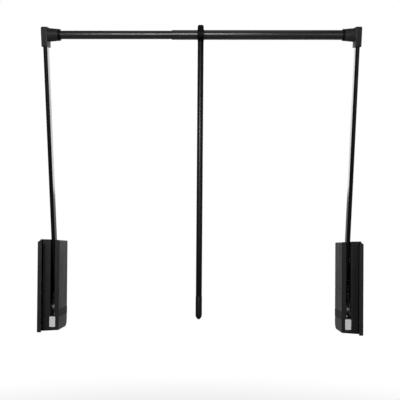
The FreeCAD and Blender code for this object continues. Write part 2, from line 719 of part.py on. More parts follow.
def bumper_block(grow, ahead):
    """Block of the lower stop, optionally larger by a clearance and longer to the front."""
    half = BUMPER_WIDTH / 2 + grow
    front = FRONT_Y - ahead
    corners = [
        (V(ARM_X - half, front, BUMPER_Z - grow), BUMPER_R),
        (V(ARM_X + half, front, BUMPER_Z - grow), BUMPER_R),
        (V(ARM_X + half, front, BUMPER_TOP), 0),
        (V(ARM_X - half, front, BUMPER_TOP), 0),
    ]
    return rounded_face(corners).extrude(V(0, BUMPER_DEPTH + ahead, 0))


def bumper():
    """Rubber block at the foot of the slot, on which the lowered arm comes to rest."""
    return bumper_block(0.0, 0.0)


def rest_pad():
    """Rubber wedge on the bridge, against which the raised arm leans."""
    face = ARM_DEPTH / 2 + GAP
    wedge = lean(box(ARM_X - PAD_HALF, ARM_X + PAD_HALF, face, face + FAR, PAD_FOOT, PAD_TOP))
    before_bridge = box(0, 2 * ARM_X, BRIDGE_Y - FAR, BRIDGE_Y, PAD_FOOT - FAR, PAD_TOP + FAR)
    return wedge.common(before_bridge)


# --- Parts that slide with the rack -------------------------------------------------------

def rack():
    """Steel rack with straight flanks and the spring flange on top."""
    left = ARM_X - RACK_HALF
    right = ARM_X + RACK_HALF
    tip_y = PITCH_R - MODULE
    root_y = PITCH_R + DEDENDUM
    bar = box(left, right, tip_y, RACK_BACK, RACK_FOOT, RACK_TOP)
    flange = box(left, right, SPRING_Y - SPRING_OUTER, RACK_BACK, RACK_TOP, SEAT_TOP)
    half = PITCH / 4 + FLANK_SHIFT
    slope = math.tan(PRESSURE)
    mouth = half + (MODULE + OVER) * slope
    floor = half - DEDENDUM * slope
    tools = []
    for number in range(FIRST_TOOTH, LAST_TOOTH + 1):
        z = number * PITCH
        tools.append(side_plate(left - OVER, right + OVER, [
            (tip_y - OVER, z - mouth, 0),
            (root_y, z - floor, 0),
            (root_y, z + floor, 0),
            (tip_y - OVER, z + mouth, 0),
        ]))
    tools.append(flats_z(DAMPER_ROD_R + FIT, RACK_TOP - ROD_GRIP, SEAT_TOP + OVER))
    return cut_all(bar.fuse(flange).removeSplitter(), tools)


def damper_rod():
    """Rod screwed into the rack, with its piston in the cylinder."""
    rod = flats_z(DAMPER_ROD_R, RACK_TOP - ROD_GRIP, PISTON_Z + OVER)
    piston = flats_z(DAMPER_BORE_R - 2 * FIT, PISTON_Z, PISTON_Z + PISTON)
    return rod.fuse(piston).removeSplitter()


# --- Parts that swing with an arm ---------------------------------------------------------

def involute(radius):
    """How far the involute has turned from its root on the base circle, in radians."""
    slope = math.sqrt(max((radius / BASE_R) ** 2 - 1, 0))
    return slope - math.atan(slope)


def tooth(centre):
    """One involute tooth whose middle points at an angle from +Y towards +Z."""
    half_at_base = TOOTH_STEP / 4 - FLANK_SHIFT / PITCH_R + involute(PITCH_R)
    profile = [(ROOT_R - OVER, half_at_base)]
    for step in range(FLANK_STEPS + 1):
        radius = BASE_R + (ADDENDUM_R - BASE_R) * step / FLANK_STEPS
        profile.append((radius, half_at_base - involute(radius)))
    points = [(radius, centre - half) for radius, half in profile]
    points += [(radius, centre + half) for radius, half in reversed(profile)]
    corners = [(radius * math.cos(angle), radius * math.sin(angle), 0) for radius, angle in points]
    return side_plate(ARM_X - SECTOR_HALF, ARM_X + SECTOR_HALF, corners)


def gear_sector():
    """Toothed sector on the foot, in its rest position."""
    low = (FIRST_TOOTH - 0.5) * TOOTH_STEP
    high = (LAST_TOOTH + 0.5) * TOOTH_STEP
    x0 = ARM_X - SECTOR_HALF

    def rim(angle):
        return V(x0, ROOT_R * math.cos(angle), ROOT_R * math.sin(angle))

    hub = V(x0, 0, 0)
    edges = [
        Part.LineSegment(hub, rim(low)).toShape(),
        Part.Arc(rim(low), rim((low + high) / 2), rim(high)).toShape(),
        Part.LineSegment(rim(high), hub).toShape(),
    ]
    plate = Part.Face(Part.Wire(edges)).extrude(V(2 * SECTOR_HALF, 0, 0))
    teeth = [tooth(number * TOOTH_STEP) for number in range(FIRST_TOOTH, LAST_TOOTH + 1)]
    return fuse_all([plate] + teeth)


def arm_foot():
    """Cast foot: hub on the axle, gear sector, and the tongue that carries the arm tube."""
    hub = flats_x(HUB_R, ARM_X - HUB_HALF, ARM_X + HUB_HALF, flats=ROUND_FLATS)
    neck = bevelled_bar(ARM_WIDTH, ARM_DEPTH, 0, FOOT_SHOULDER)
    inner = 2 * (ARM_WALL + FIT)
    tongue = bevelled_bar(ARM_WIDTH - inner, ARM_DEPTH - inner, FOOT_SHOULDER, TONGUE_TOP)
    foot = fuse_all([hub, lean(neck), lean(tongue), gear_sector()])
    bores = [flats_x(BUSH_R + FIT, 0, 2 * ARM_X, flats=HALF_ROUND_FLATS)]
    bores += [lean(flats_x(PIN_R + FIT, 0, 2 * ARM_X, 0, z)) for z in PIN_HEIGHTS]
    return cut_all(foot, bores)


def axle_bush():
    """Plain bush pressed into the foot, running on the axle, a little longer than the hub."""
    reach = HUB_HALF + BUSH_PROUD
    barrel = flats_x(BUSH_R, ARM_X - reach, ARM_X + reach, flats=HALF_ROUND_FLATS)
    bore_r = around(AXLE_R + FIT, HALF_ROUND_FLATS)
    return barrel.cut(flats_x(bore_r, 0, 2 * ARM_X, flats=HALF_ROUND_FLATS))


def elbow_screw_bar(radius, y0, y1):
    """A bar with flats along Y, at the place of the elbow's screw."""
    bar = flats_z(radius, -y1, -y0, 0, 0, FEW_FLATS).rotated(ORIGIN, X_AXIS, 90)
    return bar.translated(V(ARM_X, 0, AXIS_TO_RAIL - ELBOW_SCREW_DROP))


def arm_tube():
    """Flat-oval steel tube from the foot into the elbow."""
    end = AXIS_TO_RAIL + ELBOW_ABOVE - ELBOW_ROOF
    outer = flat_oval(ARM_WIDTH, ARM_DEPTH, FOOT_SHOULDER, end)
    tools = [flat_oval(ARM_WIDTH - 2 * ARM_WALL, ARM_DEPTH - 2 * ARM_WALL, FOOT_SHOULDER, end)]
    tools += [flats_x(PIN_R + FIT, 0, 2 * ARM_X, 0, z) for z in PIN_HEIGHTS]
    tools.append(elbow_screw_bar(SCREW_R + FIT, ARM_DEPTH / 2 - 2 * ARM_WALL, ARM_DEPTH))
    return lean(outer.cut(Part.makeCompound(tools)))


def foot_pins():
    """Flush rivets through the tube and the tongue of the foot."""
    half = ARM_WIDTH / 2
    pins = [lean(flats_x(PIN_R, ARM_X - half, ARM_X + half, 0, z)) for z in PIN_HEIGHTS]
    return Part.makeCompound(pins)


def elbow(tube_r):
    """Moulded corner: a socket on the arm tube and a tapered collar on the rail tube."""
    low = AXIS_TO_RAIL - ELBOW_BELOW
    high = AXIS_TO_RAIL + ELBOW_ABOVE
    half = ELBOW_DEPTH / 2
    block = side_plate(ARM_X - ELBOW_HALF, ARM_X + ELBOW_HALF, [
        (-half, low, 0),
        (half, low, 0),
        (half, high, ELBOW_TOP_R),
        (-half, high, ELBOW_TOP_R),
    ])
    start = ARM_X + ELBOW_HALF - COLLAR_ROOT
    taper = turned([(COLLAR_ROOT_R, start), (COLLAR_MOUTH_R, COLLAR_END)], ROUND_FLATS)
    socket_x = ARM_WIDTH / 2 + FIT
    socket_y = ARM_DEPTH / 2 + FIT
    bore_r = around(tube_r + FIT, ROUND_FLATS)
    return lean(cut_all(block.fuse(along_x(taper, 0, AXIS_TO_RAIL)), [
        box(ARM_X - socket_x, ARM_X + socket_x, -socket_y, socket_y, low - OVER, high - ELBOW_ROOF),
        flats_x(bore_r, SOCKET_X, COLLAR_END + OVER, 0, AXIS_TO_RAIL, ROUND_FLATS),
        elbow_screw_bar(SCREW_R + FIT, ARM_DEPTH / 2 - OVER, half),
        elbow_screw_bar(SCREW_HEAD_R + FIT, ELBOW_SCREW_SEAT, half + OVER),
    ]))


def elbow_ring(tube_r):
    """Dark ring that closes the mouth of the collar around the rail tube."""
    end = COLLAR_END + RING_WIDTH
    ring = flats_x(COLLAR_MOUTH_R, COLLAR_END, end, 0, AXIS_TO_RAIL, ROUND_FLATS)
    bore_r = around(tube_r + FIT, ROUND_FLATS)
    return lean(ring.cut(flats_x(bore_r, COLLAR_END - OVER, end + OVER, 0, AXIS_TO_RAIL, ROUND_FLATS)))


def elbow_screw():
    """Countersunk screw on the rear of the elbow, into the arm tube."""
    shank = elbow_screw_bar(SCREW_R, ARM_DEPTH / 2 - ELBOW_SCREW_GRIP, ELBOW_SCREW_SEAT + SCREW_OVERLAP)
    head = elbow_screw_bar(SCREW_HEAD_R, ELBOW_SCREW_SEAT, ELBOW_SCREW_SEAT + SCREW_HEAD)
    return lean(shank.fuse(head).removeSplitter())


# --- Rail and handle ----------------------------------------------------------------------

def inner_tube():
    """Thin rail tube, held by the left elbow."""
    return ring_x(INNER_TUBE_R, INNER_TUBE_R - INNER_TUBE_WALL, SOCKET_X, INNER_TUBE_END, RAIL_Y, RAIL_Z)


def inner_tube_glide():
    """Plastic plug that guides the hidden end of the thin tube."""
    head = flats_x(INNER_TUBE_R + GLIDE_PROUD, INNER_TUBE_END, INNER_TUBE_END + GLIDE_HEAD, flats=ROUND_FLATS)
    plug_r = INNER_TUBE_R - INNER_TUBE_WALL - FIT
    plug = flats_x(plug_r, INNER_TUBE_END - GLIDE_PLUG, INNER_TUBE_END + OVER)
    return on_rail(head.fuse(plug).removeSplitter())


def outer_tube():
    """Thick rail tube, held by the right elbow and sliding over the thin one."""
    end = PANEL_GAP - SOCKET_X
    return ring_x(OUTER_TUBE_R, OUTER_TUBE_R - OUTER_TUBE_WALL, OUTER_TUBE_START, end, RAIL_Y, RAIL_Z)


def handle_sleeve():
    """Plastic sleeve on the rail, inside the eye and a little wider."""
    half = EYE_WIDTH / 2 + SLEEVE_PROUD
    left = HANDLE_X - half
    right = HANDLE_X + half
    barrel = flats_x(SLEEVE_BORE_R + SLEEVE_WALL, left, right, flats=ROUND_FLATS)
    return on_rail(barrel.cut(flats_x(SLEEVE_BORE_R, left - OVER, right + OVER, flats=ROUND_FLATS)))


def handle_eye():
    """Eye on the sleeve: a drop-shaped ring with a bullet nose and a spigot for the rod."""
    half = EYE_WIDTH / 2
    left = HANDLE_X - half
    right = HANDLE_X + half
    lobe_z = EYE_TOP - EYE_LOBE_R
    spread = math.acos((EYE_R - EYE_LOBE_R) / lobe_z)

    def on_circle(radius, centre_z, angle):
        return V(left, radius * math.sin(angle), centre_z + radius * math.cos(angle))

    lobe = [on_circle(EYE_LOBE_R, lobe_z, angle) for angle in (-spread, 0, spread)]
    belly = [on_circle(EYE_R, 0, angle) for angle in (spread, math.pi, -spread)]
    edges = [
        Part.Arc(*lobe).toShape(),
        Part.LineSegment(lobe[-1], belly[0]).toShape(),
        Part.Arc(*belly).toShape(),
        Part.LineSegment(belly[-1], lobe[0]).toShape(),
    ]
    drop = Part.Face(Part.Wire(edges)).extrude(V(EYE_WIDTH, 0, 0))
    nose = rounded_face([
        (V(left, -FAR, -FAR), 0),
        (V(right, -FAR, -FAR), 0),
        (V(right, -FAR, EYE_TOP), EYE_NOSE_R),
        (V(left, -FAR, EYE_TOP), EYE_NOSE_R),
    ]).extrude(V(0, 2 * FAR, 0))
    neck = flats_z(HANDLE_R, -HANDLE_START, HANDLE_NECK - HANDLE_START, HANDLE_X, 0, ROUND_FLATS)
    spigot = flats_z(PLUG_R, -HANDLE_START - TIP_PLUG, OVER - HANDLE_START, HANDLE_X, 0, HALF_ROUND_FLATS)
    eye = fuse_all([drop.common(nose), neck, spigot])
    bore_r = around(SLEEVE_BORE_R + SLEEVE_WALL + FIT, ROUND_FLATS)
    return on_rail(cut_all(eye, [
        flats_x(bore_r, left - OVER, right + OVER, flats=ROUND_FLATS),
        flats_x(HANDLE_PIN_R + FIT, left - OVER, right + OVER, 0, -HANDLE_PIN_DROP),
    ]))


def handle_rod():
    """Long tube of the handle."""
    length = HANDLE_DROP - TIP_LENGTH - HANDLE_START
    foot = V(HANDLE_X, 0, -HANDLE_START - length)
    outer = Part.makeCylinder(HANDLE_R, length, foot)
    inner = Part.makeCylinder(HANDLE_R - HANDLE_WALL, length, foot)
    pin_hole = flats_x(HANDLE_PIN_R + FIT, HANDLE_X - EYE_WIDTH, HANDLE_X + EYE_WIDTH, 0, -HANDLE_PIN_DROP)
    return on_rail(outer.cut(inner).cut(pin_hole))


def handle_pin():
    """Flush cross pin through the rod and the spigot of the eye."""
    half = HANDLE_R - HANDLE_PIN_SINK
    return on_rail(flats_x(HANDLE_PIN_R, HANDLE_X - half, HANDLE_X + half, 0, -HANDLE_PIN_DROP))


def handle_tip():
    """Turned end cap with a bullet nose and a spigot up the rod."""
    profile = []
    for step in range(1, NOSE_STEPS + 1):
        height = TIP_NOSE * ((step - 0.5) / (NOSE_STEPS - 0.5)) ** 2
        profile.append((TIP_R * math.sqrt(1 - (1 - height / TIP_NOSE) ** 2), height))
    profile[0] = (profile[0][0], 0)
    profile.append((TIP_R, TIP_LENGTH))
    cap = turned(profile, ROUND_FLATS)
    plug = flats_z(PLUG_R, TIP_LENGTH - OVER, TIP_LENGTH + TIP_PLUG, 0, 0, HALF_ROUND_FLATS)
    return on_rail(cap.fuse(plug).removeSplitter().translated(V(HANDLE_X, 0, -HANDLE_DROP)))


# --- Assembly -----------------------------------------------------------------------------

SIDE_PARTS = {
    "base_plate": base_plate,
    "mount_sleeves": mount_sleeves,
    "cover": cover,
    "cover_screws": cover_screws,
    "chassis": chassis,
    "chassis_screws": chassis_screws,
    "axle": axle,
    "axle_clip": axle_clip,
    "anchor_pin": anchor_pin,
    "rack_guide": rack_guide,
    "damper_cylinder": damper_cylinder,
    "spring_seat": spring_seat,
    "spring": spring,
    "bumper": bumper,
    "rest_pad": rest_pad,
    "rack": rack,
    "damper_rod": damper_rod,
    "arm_foot": arm_foot,
    "axle_bush": axle_bush,
    "arm_tube": arm_tube,
    "foot_pins": foot_pins,
    "elbow_screw": elbow_screw,
}

ELBOW_PARTS = {
    "elbow": elbow,
    "elbow_ring": elbow_ring,
}

MIDDLE_PARTS = {
    "inner_tube": inner_tube,
    "inner_tube_glide": inner_tube_glide,
    "outer_tube": outer_tube,
    "handle_sleeve": handle_sleeve,
    "handle_eye": handle_eye,
    "handle_rod": handle_rod,
    "handle_pin": handle_pin,
    "handle_tip": handle_tip,
}


def save(name, shape):
    """Write one node's STEP file."""
    shape.exportStep("parts/" + name + ".step")
    print(name, "valid" if shape.isValid() else "NOT VALID", len(shape.Solids), "solids",
          round(shape.Volume / 1000.0, 2), "cm3")


os.makedirs("parts", exist_ok=True)
for part_name, make in SIDE_PARTS.items():
    left_part = make()
    save("left_" + part_name, left_part)
    save("right_" + part_name, mirrored(left_part))
for part_name, make in ELBOW_PARTS.items():
    save("left_" + part_name, make(INNER_TUBE_R))
    save("right_" + part_name, mirrored(make(OUTER_TUBE_R)))
for part_name, make in MIDDLE_PARTS.items():
    save(part_name, make())
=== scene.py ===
# %% [markdown]
# # A pull down closet rod
# The real object is a hanging rail for the upper part of a tall wardrobe. Two plastic
# housings are screwed to the side panels. In each one a sprung and damped pivot carries a
# steel arm. The arms carry a telescoping rail, and a handle hangs from its middle.
# The CAD model already holds every size and every joint. This lesson gives that model its
# looks: rounded edges, finer springs, tubes and fasteners, and a finish for each material.
# We load the model first.

import json
import math

import bmesh
import bpy
from mathutils import Matrix, Vector

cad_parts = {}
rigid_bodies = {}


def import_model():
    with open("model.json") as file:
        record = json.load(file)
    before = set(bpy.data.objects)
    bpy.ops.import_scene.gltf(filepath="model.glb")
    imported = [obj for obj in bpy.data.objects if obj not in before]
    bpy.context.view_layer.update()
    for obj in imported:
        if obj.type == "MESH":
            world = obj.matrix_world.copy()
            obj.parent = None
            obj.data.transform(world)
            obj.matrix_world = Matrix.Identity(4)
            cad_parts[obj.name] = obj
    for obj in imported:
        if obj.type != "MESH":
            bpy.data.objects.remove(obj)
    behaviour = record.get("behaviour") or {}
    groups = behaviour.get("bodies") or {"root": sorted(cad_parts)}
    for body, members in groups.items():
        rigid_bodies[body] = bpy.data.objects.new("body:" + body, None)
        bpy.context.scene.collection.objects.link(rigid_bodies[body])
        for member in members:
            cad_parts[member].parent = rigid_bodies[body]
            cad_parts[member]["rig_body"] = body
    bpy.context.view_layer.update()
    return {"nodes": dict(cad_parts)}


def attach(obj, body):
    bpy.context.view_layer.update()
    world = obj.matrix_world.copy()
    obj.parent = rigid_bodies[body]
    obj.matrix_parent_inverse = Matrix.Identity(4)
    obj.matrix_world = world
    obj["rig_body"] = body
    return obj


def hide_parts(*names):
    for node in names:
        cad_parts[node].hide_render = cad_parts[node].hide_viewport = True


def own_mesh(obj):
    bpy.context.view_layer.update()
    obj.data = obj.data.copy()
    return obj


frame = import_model()
nodes = frame["nodes"]

# %% [markdown]
# ## Sizes that the CAD model and this lesson share
# A twin on the right is the mirror image of the part on the left, so one number, the gap
# between the two side panels, places every right-hand part. All lengths are in metres.

# %% Shared sizes
MM = 0.001
PANEL_GAP = 0.900
SIDES = ("left", "right")
BOTTOM_Z = -61.5 * MM
RAIL_Y = -158.01 * MM
RAIL_Z = 743.39 * MM
HANDLE_X = 450 * MM


def twin(mesh, side):
    """Leaves a left-hand mesh alone, and turns it into its mirror image for the right."""
    if side == "right":
        mesh.transform(Matrix.Translation((PANEL_GAP, 0, 0)) @ Matrix.Scale(-1, 4, (1, 0, 0)))
        mesh.flip_normals()


# %% [markdown]
# ## The viewpoint
# A wardrobe fitting is shown from where its user stands: in front of the opening, a little
# above the housings. A camera aimed up at the rail would make the upright handle and
# housings lean together. A level camera with a lens shift keeps them upright, as an
# architect's camera does. It stands a little right of the middle and turns back to it.

# %% Camera
FRAME_PIXELS = 400
FOCAL_PIXELS = 650
SENSOR_WIDTH = 36.0
CAMERA_PLACE = (0.4900, -1.8805, 0.1900)
CAMERA_TURN = math.radians(1.266)
CAMERA_TILT = math.radians(0.718)
CAMERA_ROLL = math.radians(-0.423)
CAMERA_RISE = 0.0870
LEVEL_AHEAD = math.radians(90)


def add_object(name, data):
    """Puts a mesh, a lamp or a camera into the scene, at the origin."""
    thing = bpy.data.objects.new(name, data)
    bpy.context.scene.collection.objects.link(thing)
    return thing


lens = bpy.data.cameras.new("viewpoint")
lens.sensor_width = SENSOR_WIDTH
lens.lens = SENSOR_WIDTH * FOCAL_PIXELS / FRAME_PIXELS
lens.shift_y = CAMERA_RISE
viewpoint = add_object("viewpoint", lens)
viewpoint.location = CAMERA_PLACE
aim = (Matrix.Rotation(CAMERA_TURN, 3, "Z") @ Matrix.Rotation(CAMERA_TILT, 3, "X")
       @ Matrix.Rotation(CAMERA_ROLL, 3, "Y") @ Matrix.Rotation(LEVEL_AHEAD, 3, "X"))
viewpoint.rotation_euler = aim.to_euler()
bpy.context.scene.camera = viewpoint
bpy.context.scene.view_settings.view_transform = "Standard"
print("Lens:", round(lens.lens, 2), "mm")

# %% [markdown]
# ## Node helpers
# Shader and geometry trees are built with the same few steps: add a node, set its options,
# then give each input a value or a link. One helper does all three, so that a tree reads
# from top to bottom like a recipe.


# %% Helpers for node trees
def feed(tree, node, inputs):
    """Gives each input of a node its number, or a link from the socket that feeds it."""
    for label, value in inputs.items():
        if isinstance(value, bpy.types.NodeSocket):
            tree.links.new(value, node.inputs[label])
        else:
            node.inputs[label].default_value = value


def place(tree, kind, inputs=None, family="ShaderNode", **options):
    """Adds a node, sets its options and feeds its inputs."""
    node = tree.nodes.new(family + kind)
    for option, value in options.items():
        setattr(node, option, value)
    feed(tree, node, inputs or {})
    return node


def maths(tree, operation, first, second=0.0, clamp=False):
    """One step of arithmetic on two numbers or sockets."""
    inputs = {0: first, 1: second}
    return place(tree, "Math", inputs, operation=operation, use_clamp=clamp).outputs[0]


def times(tree, first, second):
    """The product of two numbers or sockets."""
    return maths(tree, "MULTIPLY", first, second)


def remap(tree, value, low, high, new_low, new_high, smooth=False):
    """Moves a value from one range to another and keeps it inside."""
    kind = "SMOOTHSTEP" if smooth else "LINEAR"
    inputs = {"Value": value, "From Min": low, "From Max": high, "To Min": new_low, "To Max": new_high}
    return place(tree, "MapRange", inputs, interpolation_type=kind).outputs["Result"]


def mix_numbers(tree, share, first, second):
    """A number between two others."""
    return place(tree, "Mix", {0: share, 2: first, 3: second}).outputs[0]


def mix_colours(tree, share, first, second):
    """A colour between two others, each three numbers or a socket."""
    inputs = {0: share}
    for socket, colour in ((6, first), (7, second)):
        inputs[socket] = colour if isinstance(colour, bpy.types.NodeSocket) else (*colour, 1)
    return place(tree, "Mix", inputs, data_type="RGBA").outputs[2]


def noise(tree, vector, scale, detail, roughness=0.5, distortion=0.0):
    """Cloudy noise between 0 and 1."""
    inputs = {"Vector": vector, "Scale": scale, "Detail": detail, "Roughness": roughness,
              "Distortion": distortion}
    return place(tree, "TexNoise", inputs).outputs[0]


def empty_tree(owner):
    """The node tree of a world or a material, with nothing in it yet."""
    owner.use_nodes = True
    owner.node_tree.nodes.clear()
    return owner.node_tree


# %% [markdown]
# ## Floor and light
# The setting is a plain studio: a pale floor that runs out to white, far below because the
# rail swings down there, and four soft lamps, the strongest like a wide window at the front
# on the left. A sky of full white would make black plastic look grey, so only the camera
# sees it. Reflections see a dim room in front, a lighter wall behind, as a wardrobe's back
# is, a little more on the right, and little overhead, where the wardrobe's top would be.
# The floor glows in reflections by the same rule, and light on surfaces has a calm level.

# %% World
FLOOR_Z = -0.90
WHITE = (1, 1, 1, 1)
SKY_LIGHT = 0.55
ROOM_REFLECTION = 0.12
BACK_REFLECTION = 0.5
FRONT_TO_BACK = (-0.35, 0.75)
LEFT_TO_RIGHT = (-0.3, 0.3)
SIDE_SHARES = (0.82, 1.06)
LEVEL_TO_UP = (0.20, 0.80)
UP_SHARE = 0.25


def shown(tree, in_reflections):
    """White to the camera, a given strength in reflections, and calm light on surfaces."""
    ray = place(tree, "LightPath").outputs
    mirror_like = maths(tree, "MAXIMUM", ray["Is Glossy Ray"], ray["Is Transmission Ray"])
    unseen = mix_numbers(tree, mirror_like, SKY_LIGHT, in_reflections)
    return mix_numbers(tree, ray["Is Camera Ray"], unseen, 1.0)


world = bpy.data.worlds.new("studio")
bpy.context.scene.world = world
sky = empty_tree(world)
towards = place(sky, "TexCoord").outputs["Generated"]
facing = place(sky, "SeparateXYZ", {0: towards}).outputs
depthwise = remap(sky, facing["Y"], *FRONT_TO_BACK, ROOM_REFLECTION, BACK_REFLECTION, smooth=True)
upward = remap(sky, facing["Z"], *LEVEL_TO_UP, 1.0, UP_SHARE, smooth=True)
sideways = remap(sky, facing["X"], *LEFT_TO_RIGHT, *SIDE_SHARES)
in_reflections = times(sky, depthwise, times(sky, upward, sideways))
strength = shown(sky, in_reflections)
background = place(sky, "Background", {"Color": WHITE, "Strength": strength})
place(sky, "OutputWorld", {"Surface": background.outputs[0]})
print("Sky:", SKY_LIGHT, "on surfaces,", ROOM_REFLECTION, "to", BACK_REFLECTION, "in reflections")

# %% Floor
FLOOR_REACH = 9.0
FLOOR_CORNERS = 96
FLOOR_MIDDLE = (HANDLE_X, 0, FLOOR_Z)
FLOOR_COLOUR = (0.86, 0.86, 0.855)
FLOOR_MOTTLE = (0.89, 0.89, 0.885)
FADE_START, FADE_END = 1.2, 3.6
FLOOR_FRONT, FLOOR_BACK = -0.4, 1.8

floor_mesh = bpy.data.meshes.new("floor")
shape = bmesh.new()
bmesh.ops.create_circle(shape, cap_ends=True, radius=FLOOR_REACH, segments=FLOOR_CORNERS)
bmesh.ops.translate(shape, verts=shape.verts, vec=FLOOR_MIDDLE)
shape.to_mesh(floor_mesh)
shape.free()
floor = add_object("floor", floor_mesh)

pale = bpy.data.materials.new("pale_floor")
tree = empty_tree(pale)
spot = place(tree, "TexCoord").outputs["Object"]
reach = place(tree, "VectorMath", {0: spot, 1: FLOOR_MIDDLE}, operation="DISTANCE")
fade = remap(tree, reach.outputs["Value"], FADE_START, FADE_END, 0.0, 1.0, smooth=True)
tint = mix_colours(tree, noise(tree, spot, 2.2, 4.0), FLOOR_COLOUR, FLOOR_MOTTLE)
matt = place(tree, "BsdfDiffuse", {"Color": tint})
depth = place(tree, "SeparateXYZ", {0: spot}).outputs["Y"]
mirrored = remap(tree, depth, FLOOR_FRONT, FLOOR_BACK, ROOM_REFLECTION, BACK_REFLECTION, smooth=True)
glow = place(tree, "Emission", {"Color": WHITE, "Strength": shown(tree, mirrored)})
glossy = place(tree, "LightPath").outputs["Is Glossy Ray"]
share = maths(tree, "MAXIMUM", fade, glossy)
mixed = place(tree, "MixShader", {0: share, 1: matt.outputs[0], 2: glow.outputs[0]})
place(tree, "OutputMaterial", {"Surface": mixed.outputs[0]})
floor_mesh.materials.append(pale)
print("Floor at", FLOOR_Z, "m")


# %% Lamps
WINDOW_TARGET = (0.45, 0, 0.4)
LAMP_TARGET = (0.45, 0, 0.3)
LAMPS = (
    ("window_lamp", (0.00, -2.35, 1.05), WINDOW_TARGET, (1.1, 0.26), 37),
    ("fill_lamp", (1.9, -2.2, 0.6), LAMP_TARGET, (0.8, 1.2), 6),
    ("top_lamp", (0.45, -0.3, 2.6), LAMP_TARGET, (1.6, 1.2), 4),
    ("back_lamp", (0.6, 2.4, 1.2), LAMP_TARGET, (1.4, 1.4), 14),
)


def lamp(name, place_at, target, size, watts):
    """A soft rectangular lamp that the camera doesn't see."""
    light = bpy.data.lights.new(name, "AREA")
    light.shape = "RECTANGLE"
    light.size, light.size_y = size
    light.energy = watts
    holder = add_object(name, light)
    holder.location = place_at
    holder.rotation_euler = (Vector(target) - Vector(place_at)).to_track_quat("-Z", "Y").to_euler()
    holder.visible_camera = False


for lamp_row in LAMPS:
    lamp(*lamp_row)
print("Lamps:", len(LAMPS))


# %% [markdown]
# ## Effects that several finishes share
# Moulded plastic, paint and metal differ in colour and gloss, but the same small things
# make them real: a fine grain, edges rubbed by handling, and faint marks in the gloss. Each
# is built once as a node group, and each material places it with a number of its own.

# %% Group maker
def new_group(name, label, number, *results):
    """A shader node group that takes a place and one number, and gives numbers back."""
    group = bpy.data.node_groups.new(name, "ShaderNodeTree")
    group.interface.new_socket("Vector", in_out="INPUT", socket_type="NodeSocketVector")
    socket = group.interface.new_socket(label, in_out="INPUT", socket_type="NodeSocketFloat")
    socket.default_value = number
    for result in results:
        group.interface.new_socket(result, in_out="OUTPUT", socket_type="NodeSocketFloat")
    given = group.nodes.new("NodeGroupInput").outputs
    return group, given["Vector"], given[label], group.nodes.new("NodeGroupOutput")


# %% [markdown]
# ### Moulding grain
# A plastic part copies the surface of its steel mould, which is spark eroded to a fine
# leathery grain that hides scratches and shines less. Small round cells with softer noise
# over them look like that. The group gives a height for a Bump node and a speckle for small
# shifts of colour. Noise in the part's own space needs no layout and never stretches.

# %% Moulding grain
GRAIN_HEIGHT = 0.6
SPECKLE_RANGE = (0.3, 0.7)
grain_group, spot, fineness, result = new_group("moulding grain", "Cells", 1400.0, "Height", "Speckle")
cells = place(grain_group, "TexVoronoi",
              {"Vector": spot, "Scale": fineness, "Smoothness": 0.6}, feature="SMOOTH_F1")
soft = noise(grain_group, spot, fineness, 3.0, 0.6)
both = maths(grain_group, "ADD", cells.outputs["Distance"], soft)
speckle = remap(grain_group, noise(grain_group, spot, 38.0, 5.0, 0.55), *SPECKLE_RANGE, 0.0, 1.0)
feed(grain_group, result, {"Height": times(grain_group, both, GRAIN_HEIGHT),
                           "Speckle": speckle})

# %% [markdown]
# ### Rubbed edges
# Edges are what hands and clothes hangers touch first, so there the surface is polished or
# a little paler. Later, each rounded edge is marked in its mesh with a number called edge.
# Noise breaks that number up, so that the wear comes and goes along an edge.

# %% Rubbed edges
PATCH_THRESHOLD = 0.62
PATCH_CONTRAST = 6.0
wear_group, spot, amount, result = new_group("rubbed edges", "Amount", 0.5, "Mask")
edge = place(wear_group, "Attribute", attribute_name="edge").outputs["Fac"]
unworn = maths(wear_group, "SUBTRACT", 1.0, amount)
threshold = times(wear_group, unworn, PATCH_THRESHOLD)
above = maths(wear_group, "SUBTRACT", noise(wear_group, spot, 120.0, 6.0, 0.65), threshold)
broken = maths(wear_group, "MULTIPLY", above, PATCH_CONTRAST, clamp=True)
feed(wear_group, result, {"Mask": times(wear_group, edge, broken)})

# %% [markdown]
# ### Handling marks
# Gloss is never quite even: fingers leave smears, and dust settles in soft clouds. The
# group gives a slow, stretched noise that a material uses to move its roughness.

# %% Handling marks
MARKS_STRETCH = (1.0, 1.0, 0.45)
MARKS_TURN = (0.3, 0.2, 0.5)
SMEAR_RANGE = (0.32, 0.68)
marks_group, spot, size, result = new_group("handling marks", "Size", 14.0, "Smear")
stretched = place(marks_group, "Mapping",
                  {"Vector": spot, "Scale": MARKS_STRETCH, "Rotation": MARKS_TURN}).outputs[0]
smear = noise(marks_group, stretched, size, 7.0, 0.62, 0.6)
feed(marks_group, result, {"Smear": remap(marks_group, smear, *SMEAR_RANGE, 0.0, 1.0)})

# %% [markdown]
# ### Drawn lines
# Tube and wire are pulled through a die, which leaves very fine lines along them, and the
# paint over them dries with a faint orange peel. The group mixes the two, and a material
# squeezes the place that it hands in, so that the lines run along the tube.

# %% Drawn lines
drawn_group, spot, lines_share, result = new_group("drawn lines", "Lines", 0.5, "Height")
lines = noise(drawn_group, spot, 900.0, 2.0)
peel = noise(drawn_group, spot, 420.0, 1.0)
feed(drawn_group, result, {"Height": mix_numbers(drawn_group, lines_share, peel, lines)})
print("Groups:", [g.name for g in bpy.data.node_groups])


# %% [markdown]
# ## Finishes
# Every finish starts with one Principled shader, the part's own coordinates, its wear and
# its smears, and ends with a bump. Numbers that are the same all over are typed straight
# into the shader, and only what changes over the surface comes through nodes.

# %% Finish maker
finishes = {}


def use_group(tree, group, vector, **inputs):
    """Places a shared effect in a material."""
    node = place(tree, "Group", {"Vector": vector}, node_tree=group)
    feed(tree, node, {label.title(): value for label, value in inputs.items()})
    return node.outputs


